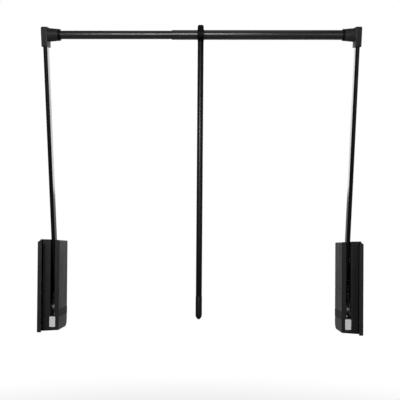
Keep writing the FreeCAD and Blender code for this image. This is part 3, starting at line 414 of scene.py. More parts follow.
def start_finish(slot, wear, smear_size, **numbers):
    """A material with its shader, and the place, wear and smear that its recipe works with."""
    material = bpy.data.materials.new(slot + "_finish")
    tree = empty_tree(material)
    shader = place(tree, "BsdfPrincipled")
    for label, value in numbers.items():
        shader.inputs[label.replace("_", " ").title().replace("Ior", "IOR")].default_value = value
    place(tree, "OutputMaterial", {"Surface": shader.outputs[0]})
    finishes[slot] = material
    spot = place(tree, "TexCoord").outputs["Object"]
    rubbed = use_group(tree, wear_group, spot, amount=wear)["Mask"]
    return tree, shader, spot, rubbed, use_group(tree, marks_group, spot, size=smear_size)["Smear"]


def end_finish(tree, shader, colour, roughness, height, strength, depth):
    """Feeds a recipe's colour, roughness and relief to its shader."""
    bump = place(tree, "Bump", {"Height": height, "Strength": strength, "Distance": depth})
    feed(tree, shader, {"Base Color": colour, "Roughness": roughness, "Normal": bump.outputs[0]})


# %% [markdown]
# ### Moulded plastic
# The base plates, covers, elbows and handle mouldings are black nylon or ABS: grain from
# the mould, slightly worn edges, and smears that shift the roughness. Carbon black swallows
# nearly all light, so what the eye sees of such a part is mostly its gloss. One strip of
# each cover is given a darker colour and a higher roughness than the rest, so it shines
# less and looks darker. It is marked later in the mesh with a number called strip.

# %% Moulded plastic
PLASTIC_RELIEF = 0.7
PLASTIC_SMEAR = (-0.06, 0.07)
RUBBED_PLASTIC = (0.07,) * 3
RUBBED_SHARE = 0.5
RUBBED_POLISH = 0.12
STRIP_COLOUR = (0.0010,) * 3
STRIP_COARSER = 0.20


def moulded_plastic(slot, colour, pale_colour, roughness, cells, depth, wear, **numbers):
    """Black plastic with a mould grain."""
    tree, shader, spot, rubbed, smear = start_finish(slot, wear, 16.0, **numbers)
    grain = use_group(tree, grain_group, spot, cells=cells)
    strip = place(tree, "Attribute", attribute_name="strip").outputs["Fac"]
    body = mix_colours(tree, grain["Speckle"], colour, pale_colour)
    striped = mix_colours(tree, strip, body, STRIP_COLOUR)
    worn = mix_colours(tree, times(tree, rubbed, RUBBED_SHARE), striped, RUBBED_PLASTIC)
    gloss = remap(tree, smear, 0.0, 1.0, *(roughness + change for change in PLASTIC_SMEAR))
    coarser = maths(tree, "ADD", gloss, times(tree, strip, STRIP_COARSER))
    polished = maths(tree, "SUBTRACT", coarser, times(tree, rubbed, RUBBED_POLISH))
    end_finish(tree, shader, worn, polished, grain["Height"], PLASTIC_RELIEF, depth)


moulded_plastic("base_plastic", (0.0032, 0.0040, 0.0037), (0.0052, 0.0061, 0.0057),
                0.50, 1300.0, 0.00005, 0.35, specular_ior_level=0.30)
moulded_plastic("cover_plastic", (0.0028, 0.0028, 0.0027), (0.0046, 0.0045, 0.0044),
                0.50, 1500.0, 0.00005, 0.40, specular_ior_level=0.30)
moulded_plastic("elbow_plastic", (0.0100, 0.0104, 0.0104), (0.0140, 0.0142, 0.0142),
                0.56, 1700.0, 0.00004, 0.45, specular_ior_level=0.15)
moulded_plastic("handle_plastic", (0.0012, 0.0013, 0.0011), (0.0022, 0.0022, 0.0020),
                0.46, 1900.0, 0.00003, 0.40, specular_ior_level=0.25)
moulded_plastic("eye_plastic", (0.0005,) * 3, (0.0009,) * 3,
                0.55, 1900.0, 0.00003, 0.20, specular_ior_level=0.10)
print("Plastics:", list(finishes))

# %% [markdown]
# ### Painted steel tube
# Arms, rail and handle rod are thin steel tube with a black stove enamel. Enamel is a
# pigment layer under clear resin, so the rail and the rod have a soft gloss below and a
# sharper one on top: a coat over the base. The arms have no coat, and their colour is a
# darker, warmer copy of the rail's: painted shade and a painted warm reflection.
# Seen almost edge on, enamel mirrors whatever is behind it, which is why the flank of an
# arm looks light grey against a white wardrobe back.

# %% Painted steel
ENAMEL_RELIEF = 0.25
ENAMEL_DEPTH = 0.00002
ENAMEL_SMEAR = (-0.05, 0.08)
ENAMEL_WEAR = 0.45
RUBBED_ENAMEL = (0.10, 0.095, 0.09)
RUBBED_ENAMEL_SHARE = 0.6
ENAMEL_DEEPER = 0.72
LINES_ALONG_X = (0.03, 1.0, 1.0)
LINES_ALONG_Z = (1.0, 1.0, 0.03)


def stove_enamel(slot, colour, roughness, coat_share, coat_rough, along, **numbers):
    """Black enamel on drawn tube. The lines run where along is small."""
    tree, shader, spot, rubbed, smear = start_finish(
        slot, ENAMEL_WEAR, 11.0, coat_weight=coat_share, coat_roughness=coat_rough, ior=1.48, **numbers)
    run = place(tree, "Mapping", {"Vector": spot, "Scale": along}).outputs[0]
    tone = use_group(tree, grain_group, spot, cells=900.0)["Speckle"]
    body = mix_colours(tree, tone, [c * ENAMEL_DEEPER for c in colour], colour)
    worn = mix_colours(tree, times(tree, rubbed, RUBBED_ENAMEL_SHARE), body, RUBBED_ENAMEL)
    gloss = remap(tree, smear, 0.0, 1.0, *(roughness + change for change in ENAMEL_SMEAR))
    surface = use_group(tree, drawn_group, run, lines=0.45)["Height"]
    end_finish(tree, shader, worn, gloss, surface, ENAMEL_RELIEF, ENAMEL_DEPTH)


stove_enamel("black_tube", (0.0100, 0.0106, 0.0098), 0.35, 0.15, 0.20, LINES_ALONG_X)
stove_enamel("handle_tube", (0.0014, 0.0015, 0.0013), 0.36, 0.03, 0.22, LINES_ALONG_Z,
             specular_ior_level=0.30)
# The arms' colour is darker and warmer than the rail's enamel: painted shade, and a painted warm
# reflection on their fronts.
stove_enamel("arm_tube", (0.0032, 0.0028, 0.0024), 0.20, 0.0, 0.22, LINES_ALONG_Z,
             specular_ior_level=0.30)
print("Enamels ready")

# %% [markdown]
# ### Bare and plated metal
# Screws and pins are bright zinc on steel, pressings are duller zinc, the mounting sleeves
# are blackened, the spring is oiled, and the arm's foot is die cast. One recipe serves: the
# base colour is the colour of the reflection, cloudy plating moves both colour and
# roughness, and fine lines or pits make the bump.

# %% Metals
METAL_RELIEF = 0.5
METAL_WEAR = 0.6
RUBBED_BRIGHTER = 1.25


def metal(slot, colour, dull_colour, roughness, spread, lines, depth):
    """Bare or plated metal."""
    tree, shader, spot, rubbed, cloudy = start_finish(slot, METAL_WEAR, 60.0, metallic=1.0)
    body = mix_colours(tree, cloudy, colour, dull_colour)
    worn = mix_colours(tree, rubbed, body, [c * RUBBED_BRIGHTER for c in colour])
    gloss = remap(tree, cloudy, 0.0, 1.0, roughness, roughness + spread)
    surface = use_group(tree, drawn_group, spot, lines=lines)["Height"]
    end_finish(tree, shader, worn, gloss, surface, METAL_RELIEF, depth)


metal("bright_steel", (0.66, 0.66, 0.65), (0.50, 0.50, 0.49), 0.22, 0.14, 0.8, 0.00002)
metal("black_steel", (0.34, 0.31, 0.27), (0.25, 0.225, 0.20), 0.34, 0.16, 0.5, 0.00002)
metal("zinc_plated_steel", (0.55, 0.56, 0.57), (0.40, 0.41, 0.42), 0.34, 0.18, 0.3, 0.00003)
metal("spring_steel", (0.30, 0.29, 0.28), (0.20, 0.195, 0.19), 0.26, 0.16, 0.9, 0.00002)
metal("cast_zinc", (0.42, 0.42, 0.41), (0.31, 0.31, 0.31), 0.44, 0.16, 0.1, 0.00006)
print("Metals ready")

# %% [markdown]
# ### Rubber and slippery plastic
# The block that stops the arm is pale grey rubber, the small pads are black rubber, and
# the bushes and the glide are natural acetal. Rubber is rough, acetal waxy. The rubber's
# bloom, a pale film of wax, is a cloudy mix of two tones.

# %% Rubber and acetal
SOFT_RELIEF = 0.5
SOFT_WEAR = 0.5
RUBBED_DARKER = 0.8
BLOOM_ROUGHER = 0.1


def soft_finish(slot, colour, bloom_colour, roughness, cells, depth, **numbers):
    """Rubber or waxy plastic with a cloudy bloom."""
    tree, shader, spot, rubbed, bloom = start_finish(slot, SOFT_WEAR, 70.0, **numbers)
    grain = use_group(tree, grain_group, spot, cells=cells)
    film = maths(tree, "MULTIPLY", maths(tree, "ADD", bloom, grain["Speckle"]), 0.5, clamp=True)
    body = mix_colours(tree, film, colour, bloom_colour)
    worn = mix_colours(tree, times(tree, rubbed, RUBBED_SHARE), body,
                       [c * RUBBED_DARKER for c in colour])
    gloss = remap(tree, bloom, 0.0, 1.0, roughness, roughness + BLOOM_ROUGHER)
    end_finish(tree, shader, worn, gloss, grain["Height"], SOFT_RELIEF, depth)


soft_finish("grey_rubber", (0.40, 0.39, 0.38), (0.48, 0.47, 0.46), 0.62, 1100.0, 0.00004)
soft_finish("black_rubber", (0.0030,) * 3, (0.0060,) * 3, 0.70, 1200.0, 0.00005,
            specular_ior_level=0.15)
soft_finish("white_acetal", (0.72, 0.72, 0.69), (0.80, 0.80, 0.77), 0.34, 900.0, 0.00002)
print("Finishes:", sorted(finishes))

# %% [markdown]
# ## Dressing the CAD nodes
# The CAD nodes whose shape is already right keep it and only change their material. Each
# came with a plain material named after its slot, so the name leads to the finish. A few
# nodes have a finish of their own instead of their slot's: the arms a darker, warmer copy of
# the rail's enamel, whose colour is painted shade and a painted warm reflection, the
# sleeves blackened steel, and the eye that slides on the rail a denser, duller black, as
# the elbows' rings are.

# %% Put the finishes on the CAD nodes
OWN_FINISH = {"arm_tube": "arm_tube", "mount_sleeves": "black_steel", "eye": "eye_plastic",
              "elbow_ring": "eye_plastic"}
slot_of = {}
finish_of = {}
for node_name, node in nodes.items():
    slot_of[node_name] = node.material_slots[0].material.name
    plain_name = node_name.split("_", 1)[1]
    finish_of[node_name] = finishes[OWN_FINISH.get(plain_name, slot_of[node_name])]
    node.material_slots[0].material = finish_of[node_name]
print("Dressed", len(slot_of), "nodes")


# %% [markdown]
# ## Rounded edges
# No real moulding or pressing has a perfectly sharp edge: plastic can't fill a sharp mould
# corner, and steel is tumbled. A rounded edge catches a thin line of light, and that line
# makes a black part readable. A shader could fake it, but then the meshes would stay sharp.
# Here each CAD node is copied, its loose triangles are welded and its flat areas joined,
# and a Bevel modifier rounds what is sharper than a set angle. The bevel writes its new
# faces to a second material slot, a marker that becomes the edge number and then goes.

# %% Edge rounding
WELD = 0.002 * MM
FLAT_ANGLE = math.radians(0.6)
SHARP_ANGLE = math.radians(24)
LARGE_FACE_WEIGHT = 80


def freeze(piece):
    """Turns an object with modifiers into a plain mesh."""
    graph = bpy.context.evaluated_depsgraph_get()
    plain = bpy.data.meshes.new_from_object(piece.evaluated_get(graph), depsgraph=graph)
    piece.modifiers.clear()
    piece.data = plain


def stand_in(piece, *node_names):
    """A finished piece rides with the CAD nodes that it stands for, and hides them."""
    first = nodes[node_names[0]]
    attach(piece, first["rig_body"])
    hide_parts(*node_names)


def keep_flats_flat(piece):
    """Turns the smooth shading so that large flat faces stay flat next to small round ones."""
    weighing = piece.modifiers.new("weighted normals", "WEIGHTED_NORMAL")
    weighing.keep_sharp = True
    weighing.weight = LARGE_FACE_WEIGHT
    freeze(piece)


def round_edges(piece, width, segments=2):
    """Rounds a piece's sharp edges, and marks the new faces with the number edge."""
    piece.data.materials.append(piece.data.materials[0])
    bevel = piece.modifiers.new("rounded edges", "BEVEL")
    bevel.width = width
    bevel.segments = segments
    bevel.limit_method = "ANGLE"
    bevel.angle_limit = SHARP_ANGLE
    bevel.material = 1
    bevel.harden_normals = True
    freeze(piece)
    mesh = piece.data
    mark = mesh.attributes.new("edge", "FLOAT", "FACE")
    mark.data.foreach_set("value", [float(face.material_index) for face in mesh.polygons])
    mesh.polygons.foreach_set("material_index", [0] * len(mesh.polygons))
    mesh.materials.pop(index=1)


def rounded(node_name, width):
    """A copy of a CAD node with rounded edges, in the node's place."""
    mesh = nodes[node_name].data.copy()
    shape = bmesh.new()
    shape.from_mesh(mesh)
    bmesh.ops.remove_doubles(shape, verts=shape.verts, dist=WELD)
    bmesh.ops.dissolve_limit(shape, angle_limit=FLAT_ANGLE, verts=shape.verts, edges=shape.edges)
    shape.to_mesh(mesh)
    shape.free()
    mesh.materials.clear()
    mesh.materials.append(finish_of[node_name])
    mesh.shade_smooth()
    piece = add_object(node_name + "_rounded", mesh)
    round_edges(piece, width)
    keep_flats_flat(piece)
    stand_in(piece, node_name)


# %% [markdown]
# The widths follow how each part is made: generous on mouldings and rubber, small on
# pressings, and hardly anything on turned pins and gear teeth.

# %% Round every part that keeps its CAD shape
SIDE_EDGES = {
    "base_plate": 0.40, "cover": 0.60, "chassis": 0.25, "axle": 0.25, "axle_clip": 0.10,
    "anchor_pin": 0.15, "rack_guide": 0.30, "damper_cylinder": 0.25, "spring_seat": 0.20,
    "bumper": 0.80, "rest_pad": 0.50, "rack": 0.15, "damper_rod": 0.10, "arm_foot": 0.25,
    "axle_bush": 0.15, "arm_tube": 0.20, "foot_pins": 0.10,
}
MIDDLE_EDGES = {
    "inner_tube_glide": 0.20, "handle_sleeve": 0.30, "handle_eye": 0.80, "handle_pin": 0.15,
}
edge_table = {f"{side}_{part}": width for side in SIDES for part, width in SIDE_EDGES.items()}
edge_table.update(MIDDLE_EDGES)
for part, width in edge_table.items():
    rounded(part, width * MM)
print("Rounded", len(edge_table), "parts")

# %% [markdown]
# ### The darker, rougher strip on the covers
# The strip lies between two fine grooves just below the height of the swing axis. A face
# belongs to it when all its corners lie between those two heights.

# %% Mark the strip
STRIP_LOW = -21.5 * MM
STRIP_HIGH = 0.5 * MM

for side in SIDES:
    shell = bpy.data.objects[side + "_cover_rounded"].data
    inside = [STRIP_LOW < v.co.z < STRIP_HIGH for v in shell.vertices]
    marks = [float(all(inside[i] for i in face.vertices)) for face in shell.polygons]
    shell.attributes.new("strip", "FLOAT", "FACE").data.foreach_set("value", marks)
    print(side, "strip:", int(sum(marks)), "faces")


# %% [markdown]
# ## Turned and drawn parts
# Tubes, the handle's tip, collars, rings and sleeves are round, so one Geometry Nodes tree
# makes them all: a profile comes in as a line of points, and a circle carries it round.
# A profile's point is (radius, place along the axis). The circle has a radius of its own,
# so the profile is drawn that much nearer to the axis. The circle also turns it upside
# down, so the places along the axis change their sign.

# %% Tree that spins a profile
SPIN_RADIUS = 0.05
SMOOTH_BELOW = 35


def geometry_tree(name, inputs):
    """An empty Geometry Nodes tree with a geometry input and output and named inputs."""
    tree = bpy.data.node_groups.new(name, "GeometryNodeTree")
    tree.interface.new_socket("Geometry", in_out="INPUT", socket_type="NodeSocketGeometry")
    for label, kind in inputs:
        tree.interface.new_socket(label, in_out="INPUT", socket_type="NodeSocket" + kind)
    tree.interface.new_socket("Geometry", in_out="OUTPUT", socket_type="NodeSocketGeometry")
    return tree, tree.nodes.new("NodeGroupInput").outputs, tree.nodes.new("NodeGroupOutput")


def grow(tree, kind, inputs=None):
    """Adds a Geometry Nodes node, and gives back what it makes."""
    return place(tree, kind, inputs, "GeometryNode").outputs[0]


def close_tree(tree, geometry, finish, result):
    """The last steps of every tree: real geometry with its material on it."""
    real = grow(tree, "RealizeInstances", {"Geometry": geometry})
    feed(tree, result, {"Geometry": grow(tree, "SetMaterial", {"Geometry": real, "Material": finish})})


spin, given, result = geometry_tree(
    "spun profile", [("Sides", "Int"), ("Radius", "Float"), ("Finish", "Material")])
profile = grow(spin, "MeshToCurve", {"Mesh": given["Geometry"]})
circle = grow(spin, "CurvePrimitiveCircle", {"Resolution": given["Sides"], "Radius": given["Radius"]})
spun = grow(spin, "CurveToMesh", {"Curve": circle, "Profile Curve": profile})
close_tree(spin, grow(spin, "SetShadeSmooth", {"Geometry": spun}), given["Finish"], result)


def run_tree(piece, tree, **inputs):
    """Runs a tree on an object with its inputs set, and leaves a plain mesh behind."""
    modifier = piece.modifiers.new(tree.name, "NODES")
    modifier.node_group = tree
    for item in tree.interface.items_tree:
        label = item.name.lower().replace(" ", "_")
        if item.in_out == "INPUT" and label in inputs:
            modifier[item.identifier] = inputs[label]
    freeze(piece)


def new_mesh(name, points, links=(), faces=()):
    """A mesh from lists of points, lines and faces."""
    mesh = bpy.data.meshes.new(name)
    mesh.from_pydata(points, links, faces)
    return mesh


def tidy_shell(mesh, smooth_below=SMOOTH_BELOW):
    """Welds seams and poles, turns faces outward, and smooths edges below an angle in degrees."""
    shape = bmesh.new()
    shape.from_mesh(mesh)
    bmesh.ops.remove_doubles(shape, verts=shape.verts, dist=WELD)
    bmesh.ops.recalc_face_normals(shape, faces=shape.faces)
    shape.to_mesh(mesh)
    shape.free()
    mesh.shade_smooth()
    mesh.set_sharp_from_angle(angle=math.radians(smooth_below))


def turned(name, profile_points, finish, position, closed=True, sides=72, smooth_below=SMOOTH_BELOW):
    """A round part, spun about the Z axis and then moved to its position."""
    points = [(radius - SPIN_RADIUS, -along, 0) for radius, along in profile_points]
    links = [(i, i + 1) for i in range(len(points) - 1)]
    if closed:
        links.append((len(points) - 1, 0))
    piece = add_object(name, new_mesh(name, points, links))
    run_tree(piece, spin, sides=sides, radius=SPIN_RADIUS, finish=finish)
    tidy_shell(piece.data, smooth_below)
    piece.data.transform(position)
    return piece


# %% [markdown]
# ### Rail and handle rod
# A cut tube has a lip where the saw and the brush rounded its rim. The profile is the
# wall's own section, a long thin rectangle whose four corners are small arcs.

# %% Rail tubes and handle rod
ALONG_X = Matrix.Rotation(math.radians(90), 4, "Y")
RAIL_PLACE = Matrix.Translation((0, RAIL_Y, RAIL_Z)) @ ALONG_X
HANDLE_PLACE = Matrix.Translation((HANDLE_X, RAIL_Y, 0))
LIP = 0.4 * MM


def corner_arc(centre, radius, start, steps=3):
    """Points of a quarter circle that begins at an angle in degrees."""
    turns = [math.radians(start + 90 * i / steps) for i in range(steps + 1)]
    return [(centre[0] + radius * math.cos(a), centre[1] + radius * math.sin(a)) for a in turns]


def tube_profile(outer, wall, low, high):
    """The section of a tube's wall with rounded rims, as (radius, along) points."""
    corners = ((outer - LIP, low + LIP), (outer - LIP, high - LIP),
               (outer - wall + LIP, high - LIP), (outer - wall + LIP, low + LIP))
    return [point for i, corner in enumerate(corners) for point in corner_arc(corner, LIP, 90 * i - 90)]


# Each row is a node, then its outer radius, wall, start and end in mm, its place and its sides.
TUBES = (
    ("inner_tube", (11.0, 1.5, 42.0, 723.0), RAIL_PLACE, 72),
    ("outer_tube", (12.5, 1.2, 373.0, 858.0), RAIL_PLACE, 72),
    ("handle_rod", (8.0, 1.4, 48.39, 724.39), HANDLE_PLACE, 64),
)
for node_name, sizes, position, sides in TUBES:
    section = tube_profile(*(v * MM for v in sizes))
    tube = turned(node_name + "_drawn", section, finish_of[node_name], position, sides=sides)
    stand_in(tube, node_name)
    print(tube.name, len(tube.data.polygons), "faces")

# %% [markdown]
# ### Handle tip
# The lower end of the handle is a plastic sleeve with a bullet nose, easy to find by hand
# and safe to walk into. Its profile runs from the axis at the nose, up the slightly swollen
# body, and into the rod as a spigot.

# %% Handle tip
TIP_FOOT = -12.61 * MM
TIP_TOP = TIP_FOOT + 61 * MM
TIP_RADIUS = 8.5 * MM
NOSE_LENGTH = 12 * MM
NOSE_STEPS = 14
NOSE_BEND = 1.9
NOSE_FULLNESS = 0.72
SPIGOT_RADIUS = 6.5 * MM
SPIGOT_TOP = 76.3 * MM
SPIGOT_CHAMFER = 0.8 * MM


def nose_point(along):
    """A point of the nose, at a share of its length from the axis to the body."""
    width = (1 - (1 - along) ** NOSE_BEND) ** NOSE_FULLNESS
    return TIP_RADIUS * width, TIP_FOOT + NOSE_LENGTH * along


nose_points = [nose_point(i / NOSE_STEPS) for i in range(NOSE_STEPS + 1)]
body_points = [(TIP_RADIUS, TIP_TOP - 1.0 * MM), (TIP_RADIUS - 0.1 * MM, TIP_TOP - 0.4 * MM),
               (TIP_RADIUS - 0.4 * MM, TIP_TOP), (SPIGOT_RADIUS, TIP_TOP),
               (SPIGOT_RADIUS, SPIGOT_TOP - SPIGOT_CHAMFER),
               (SPIGOT_RADIUS - SPIGOT_CHAMFER, SPIGOT_TOP), (0.0, SPIGOT_TOP)]
tip = turned("handle_tip_turned", nose_points + body_points, finish_of["handle_tip"],
             HANDLE_PLACE, closed=False, sides=56)
stand_in(tip, "handle_tip")
print("Tip:", len(tip.data.polygons), "faces")

# %% [markdown]
# ## Elbows
# An elbow is one moulding that turns the corner from the arm to the rail: a block over the
# arm's upper end, and a collar that tapers along the rail tube. A black ring closes the
# collar's mouth. The CAD elbow has flat facets, so that it stays light. Here the collar is
# spun and a little fuller, and the block's corners are well rounded, because people reach
# for them. The solids are joined, then hollowed for the arm, the tube and the screw. All
# of it is drawn with the arm upright, and then leans forward as the arm does at rest.

# %% Elbow sizes
LEAN = Matrix.Rotation(math.radians(12), 4, "X")
ALONG_Y = Matrix.Rotation(math.radians(-90), 4, "X")
BLOCK_OUTSIDE, BLOCK_INSIDE = 26.8 * MM, 43.2 * MM
BLOCK_HALF = 19 * MM
BLOCK_FOOT, BLOCK_TOP = 728 * MM, 780 * MM
FOOT_CORNER, TOP_CORNER = 2.5 * MM, 8 * MM
BLOCK_EDGE = 1.8 * MM
COLLAR_OVERLAP = 3 * MM
COLLAR_ROOT, COLLAR_MOUTH = 17.7 * MM, 15.4 * MM
COLLAR_END, RING_END = 70 * MM, 75 * MM
RING_RADIUS = 15.3 * MM
AT_RAIL = Matrix.Translation((0, 0, 760 * MM)) @ ALONG_X
AT_SCREW = Matrix.Translation((35 * MM, 0, 742 * MM)) @ ALONG_Y
TUBE_START = 42 * MM
TUBE_RADII = {"left": 11.0 * MM, "right": 12.5 * MM}
FIT = 0.1 * MM
SOCKET_LOW, SOCKET_HIGH = Vector((29.4, -15.1, 720)) * MM, Vector((40.6, 15.1, 776)) * MM
SCREW_HOLE = (2.1 * MM, 14 * MM, 18 * MM)
SCREW_SEAT = (3.8 * MM, 17 * MM, 20 * MM)


# %% Elbow
def carve(piece, tool, operation):
    """Joins a second solid to a piece or takes it away, and then removes that solid."""
    step = piece.modifiers.new("carve", "BOOLEAN")
    step.operation = operation
    step.solver = "EXACT"
    step.object = tool
    freeze(piece)
    bpy.data.objects.remove(tool)


def slab(name, outline, start, end, finish):
    """A flat outline of (y, z) points as a solid between two places on X."""
    count = len(outline)
    points = [(x, y, z) for x in (start, end) for y, z in outline]
    walls = [(i, (i + 1) % count, (i + 1) % count + count, i + count) for i in range(count)]
    mesh = new_mesh(name, points, faces=walls + [range(count), range(count, 2 * count)])
    mesh.materials.append(finish)
    tidy_shell(mesh)
    return add_object(name, mesh)


def round_bar(radius, start, end, position, finish):
    """A solid cylinder between two places along its axis."""
    points = [(0.0, start), (radius, start), (radius, end), (0.0, end)]
    return turned("bar", points, finish, position, closed=False, sides=48)


def elbow_block(name, finish):
    """The block over the arm's end, with rounded edges."""
    small, large = FOOT_CORNER, TOP_CORNER
    foot, top = BLOCK_FOOT + small, BLOCK_TOP - large
    outline = (corner_arc((BLOCK_HALF - small, foot), small, -90, 4)
               + corner_arc((BLOCK_HALF - large, top), large, 0, 9)
               + corner_arc((large - BLOCK_HALF, top), large, 90, 9)
               + corner_arc((small - BLOCK_HALF, foot), small, 180, 4))
    block = slab(name, outline, BLOCK_OUTSIDE, BLOCK_INSIDE, finish)
    round_edges(block, BLOCK_EDGE, segments=4)
    return block


def elbow_solid(side):
    """The block and the collar as one solid, hollowed for the arm, the tube and the screw."""
    finish = finish_of[side + "_elbow"]
    elbow = elbow_block(side + "_elbow_moulded", finish)
    collar_points = [(0.0, BLOCK_INSIDE - COLLAR_OVERLAP), (COLLAR_ROOT, BLOCK_INSIDE - COLLAR_OVERLAP),
                     (COLLAR_ROOT, BLOCK_INSIDE), (COLLAR_MOUTH, COLLAR_END - 0.8 * MM),
                     (COLLAR_MOUTH - 0.2 * MM, COLLAR_END - 0.2 * MM),
                     (COLLAR_MOUTH - 0.8 * MM, COLLAR_END), (0.0, COLLAR_END)]
    carve(elbow, turned("collar", collar_points, finish, AT_RAIL, closed=False), "UNION")
    socket_outline = [(SOCKET_LOW.y, SOCKET_LOW.z), (SOCKET_HIGH.y, SOCKET_LOW.z),
                      (SOCKET_HIGH.y, SOCKET_HIGH.z), (SOCKET_LOW.y, SOCKET_HIGH.z)]
    carve(elbow, slab("socket", socket_outline, SOCKET_LOW.x, SOCKET_HIGH.x, finish), "DIFFERENCE")
    bore = (TUBE_RADII[side] + FIT, TUBE_START, RING_END)
    for sizes, position in ((bore, AT_RAIL), (SCREW_HOLE, AT_SCREW), (SCREW_SEAT, AT_SCREW)):
        carve(elbow, round_bar(*sizes, position, finish), "DIFFERENCE")
    return elbow


def elbow_ring(side):
    """The ring that closes the collar's mouth."""
    bore = TUBE_RADII[side] + FIT
    points = [(bore, COLLAR_END), (RING_RADIUS - 0.4 * MM, COLLAR_END),
              (RING_RADIUS, COLLAR_END + 0.4 * MM), (RING_RADIUS, RING_END - 1.2 * MM),
              (RING_RADIUS - 0.3 * MM, RING_END - 0.4 * MM), (RING_RADIUS - 1.0 * MM, RING_END),
              (bore, RING_END)]
    return turned(side + "_elbow_ring_spun", points, finish_of[side + "_elbow_ring"], AT_RAIL)


for side in SIDES:
    made = {side + "_elbow": elbow_solid(side), side + "_elbow_ring": elbow_ring(side)}
    for node_name, piece in made.items():
        tidy_shell(piece.data)
        keep_flats_flat(piece)
        piece.data.transform(LEAN)
        twin(piece.data, side)
        stand_in(piece, node_name)
        print(piece.name, len(piece.data.polygons), "faces")

# %% [markdown]
# ## Springs
# Inside each housing a compression spring carries the weight of the clothes. A coil is a
# rule and not a drawing: a point's share of the wire's length gives its angle and height,
# so a Geometry Nodes tree can place every point. The first and last turns lie closed on
# their neighbours, as on a real spring, so the height climbs in three stretches.
# The rack pushes the spring's lower end up as the arm comes down, and the upper end stays.
# Its wire can't follow that by riding on a body; here the spring only rides with its CAD node,
# with a mesh of its own.

# %% Tree that winds a spring
CLOSED_WIRES = 3.0
WIRE_SIDES = 14
coil, given, result = geometry_tree("wound spring", [
    ("Turns", "Float"), ("Mean Radius", "Float"), ("Wire", "Float"), ("Length", "Float"),
    ("Steps", "Int"), ("Finish", "Material")])
straight = grow(coil, "CurvePrimitiveLine", {"End": (0, 0, 1)})
wire_line = grow(coil, "ResampleCurve", {"Curve": straight, "Count": given["Steps"]})
turn = times(coil, grow(coil, "SplineParameter"), given["Turns"])
angle = times(coil, turn, 2 * math.pi)
last_turn = maths(coil, "SUBTRACT", given["Turns"], 1.0)
taken = times(coil, given["Wire"], CLOSED_WIRES)
free_rise = maths(coil, "SUBTRACT", given["Length"], taken)
first_climb = remap(coil, turn, 0.0, 1.0, 0.0, given["Wire"])
free_climb = remap(coil, turn, 1.0, last_turn, 0.0, free_rise)
last_climb = remap(coil, turn, last_turn, given["Turns"], 0.0, given["Wire"])
climb = maths(coil, "ADD", maths(coil, "ADD", first_climb, free_climb), last_climb)
wire_radius = times(coil, given["Wire"], 0.5)
point = place(coil, "CombineXYZ", {
    "X": times(coil, maths(coil, "COSINE", angle), given["Mean Radius"]),
    "Y": times(coil, maths(coil, "SINE", angle), given["Mean Radius"]),
    "Z": maths(coil, "ADD", climb, wire_radius)}).outputs[0]
wound = grow(coil, "SetPosition", {"Geometry": wire_line, "Position": point})
section = grow(coil, "CurvePrimitiveCircle", {"Resolution": WIRE_SIDES, "Radius": wire_radius})
swept = grow(coil, "CurveToMesh", {"Curve": wound, "Profile Curve": section, "Fill Caps": True})
close_tree(coil, swept, given["Finish"], result)

# %% Springs
SPRING_FOOT = (35 * MM, 28.8 * MM, 20 * MM)
SPRING_LENGTH = 124 * MM

for side in SIDES:
    spring = add_object(side + "_spring_wound", new_mesh(side + "_spring_seed", [(0, 0, 0)]))
    run_tree(spring, coil, turns=10.5, mean_radius=8.1 * MM, wire=2.7 * MM,
             length=SPRING_LENGTH, steps=320, finish=finish_of[side + "_spring"])
    tidy_shell(spring.data, smooth_below=50)
    spring.data.transform(Matrix.Translation(SPRING_FOOT))
    twin(spring.data, side)
    stand_in(spring, side + "_spring")
    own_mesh(spring)
print("Springs:", len(spring.data.polygons), "faces each")

# %% [markdown]
# ## Fasteners
# The same few fasteners repeat: steel sleeves in the mounting holes, and pan head screws
# with a cross recess. One is modelled with care, and a tree copies it to a list of points.
# The copies become one real mesh for each node, because a node is on one rigid body.

# %% Tree that copies a fastener to points
scatter, given, result = geometry_tree(
    "fasteners on points", [("Fastener", "Object"), ("Finish", "Material")])
spots = grow(scatter, "MeshToPoints", {"Mesh": given["Geometry"]})
model = place(scatter, "ObjectInfo", {"Object": given["Fastener"]}, "GeometryNode")
copies = grow(scatter, "InstanceOnPoints", {"Points": spots, "Instance": model.outputs["Geometry"]})
close_tree(scatter, copies, given["Finish"], result)


def set_fasteners(part, fastener, spots):
    """Copies a fastener to its spots on the left, mirrors the set for the right, and removes it."""
    for side in SIDES:
        node_name = f"{side}_{part}"
        piece = add_object(node_name + "_set", new_mesh(node_name + "_spots", spots))
        run_tree(piece, scatter, fastener=fastener, finish=finish_of[node_name])
        tidy_shell(piece.data, smooth_below=30)
        twin(piece.data, side)
        stand_in(piece, node_name)
    bpy.data.objects.remove(fastener)


# %% [markdown]
# ### Mounting sleeves
# Plastic creeps under a screw head, so each mounting hole has a steel sleeve that takes the
# load: a tube with a chamfered mouth, flush with the plate's back. It is a spun profile.

# %% Mounting sleeves
SLEEVE_RADIUS = 3.7 * MM
SLEEVE_BORE = 2.6 * MM
SLEEVE_TOP = 7.4 * MM
SLEEVE_Y = -71.5 * MM
LOWEST_HOLE = 13.7
PAIR_PITCH = 96
HOLE_PITCH = 32
SLEEVE_HEIGHTS = [BOTTOM_Z + (LOWEST_HOLE + pair * PAIR_PITCH + hole * HOLE_PITCH) * MM
                  for pair in range(3) for hole in range(2)]

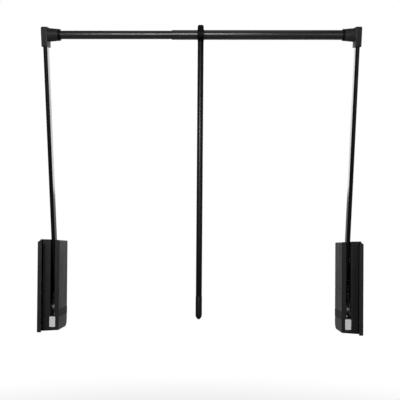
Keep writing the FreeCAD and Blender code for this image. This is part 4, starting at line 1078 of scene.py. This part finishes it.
sleeve_profile = [
    (SLEEVE_BORE, 0), (SLEEVE_RADIUS, 0), (SLEEVE_RADIUS, SLEEVE_TOP - 0.5 * MM),
    (SLEEVE_RADIUS - 0.2 * MM, SLEEVE_TOP - 0.15 * MM), (SLEEVE_RADIUS - 0.5 * MM, SLEEVE_TOP),
    (SLEEVE_BORE + 0.6 * MM, SLEEVE_TOP), (SLEEVE_BORE, SLEEVE_TOP - 0.6 * MM)]
sleeve = turned("sleeve_model", sleeve_profile, finishes["black_steel"], ALONG_X,
                sides=40, smooth_below=50)
set_fasteners("mount_sleeves", sleeve, [(0, SLEEVE_Y, z) for z in SLEEVE_HEIGHTS])
print("Sleeves:", len(SLEEVE_HEIGHTS), "in each housing")

# %% [markdown]
# ### Pan head screws
# A cross recess could be a texture, but a real one is a pit that the light falls into. The
# head's face is filled between its round rim and a cross-shaped hole, whose walls lean in
# to a smaller cross below. A few rings of points follow the head's dome.


# %% Pan head screw
SCREW_SIDES = 28
TIP_SHARES = (0.4, 0.8)
HEAD_SHARES = ((1.0, 0.0), (1.0, 0.45), (0.93, 0.75), (0.78, 0.93), (0.62, 1.0))
MOUTH_SHARES = (0.52, 0.13, 1.0)
PIT_SHARES = (0.34, 0.07, 0.25)


def cross_outline(reach, half_width):
    """The twelve corners of a cross, in order."""
    corners = []
    for quarter in range(4):
        turn = Matrix.Rotation(math.radians(90 * quarter), 2)
        for point in ((half_width, -half_width), (reach, -half_width), (reach, half_width)):
            corners.append(turn @ Vector(point))
    return corners


def round_outline(radius):
    """The corners of a circle, in order."""
    turns = [2 * math.pi * i / SCREW_SIDES for i in range(SCREW_SIDES)]
    return [(radius * math.cos(a), radius * math.sin(a)) for a in turns]


def ring(shape, outline, height):
    """A closed loop of points at one height, as bmesh vertices."""
    return [shape.verts.new((x, y, height)) for x, y in outline]


def bridge(shape, lower, upper):
    """A band of faces between two loops with as many points."""
    count = len(lower)
    for i in range(count):
        j = (i + 1) % count
        shape.faces.new((lower[i], lower[j], upper[j], upper[i]))


def pan_screw(head_radius, head_height, shank_radius, length):
    """A screw along Z, with its head from 0 up and its shank below."""
    shape = bmesh.new()
    tip_width, tip_length = (share * shank_radius for share in TIP_SHARES)
    levels = [(tip_width, -length), (shank_radius, -length + tip_length), (shank_radius, 0)]
    levels += [(head_radius * wide, head_height * high) for wide, high in HEAD_SHARES]
    loops = [ring(shape, round_outline(radius), height) for radius, height in levels]
    for lower, upper in zip(loops, loops[1:]):
        bridge(shape, lower, upper)
    shape.faces.new(list(reversed(loops[0])))
    mouth, pit = [ring(shape, cross_outline(head_radius * reach, head_radius * half), head_height * high)
                  for reach, half, high in (MOUTH_SHARES, PIT_SHARES)]
    bridge(shape, pit, mouth)
    shape.faces.new(pit)
    rims = []
    for loop in (loops[-1], mouth):
        rims += [shape.edges.get((loop[i], loop[(i + 1) % len(loop)])) for i in range(len(loop))]
    bmesh.ops.triangle_fill(shape, edges=rims, use_beauty=True)
    bmesh.ops.recalc_face_normals(shape, faces=shape.faces)
    mesh = bpy.data.meshes.new("pan_screw")
    shape.to_mesh(mesh)
    shape.free()
    return mesh


def set_screws(part, sizes, spots, turn):
    """Sets pan head screws. All sizes are in mm: head radius and height, shank radius, length."""
    mesh = pan_screw(*(v * MM for v in sizes))
    mesh.transform(turn)
    screw = add_object("pan_screw_model", mesh)
    set_fasteners(part, screw, [tuple(v * MM for v in spot) for spot in spots])


TO_PANEL = Matrix.Rotation(math.radians(-90), 4, "Y")
set_screws("cover_screws", (2.9, 1.8, 1.5, 12.9),
           [(2.0, -31.0, -51.0), (2.0, 1.0, -51.0), (2.0, -4.0, 184.0), (2.0, 38.0, 184.0)], TO_PANEL)
set_screws("chassis_screws", (3.6, 1.6, 2.0, 12.0),
           [(23.0, 17.0, -42.0), (23.0, 17.0, 62.0), (23.0, 17.0, 112.0), (23.0, 17.0, 166.0)], ALONG_X)
set_screws("elbow_screw", (3.6, 1.6, 2.0, 7.0), [LEAN @ Vector((35.0, 17.0, 742.0))], LEAN @ ALONG_Y)
print("Screws: 4 for the cover and 4 for the chassis in each housing, 1 in each elbow")
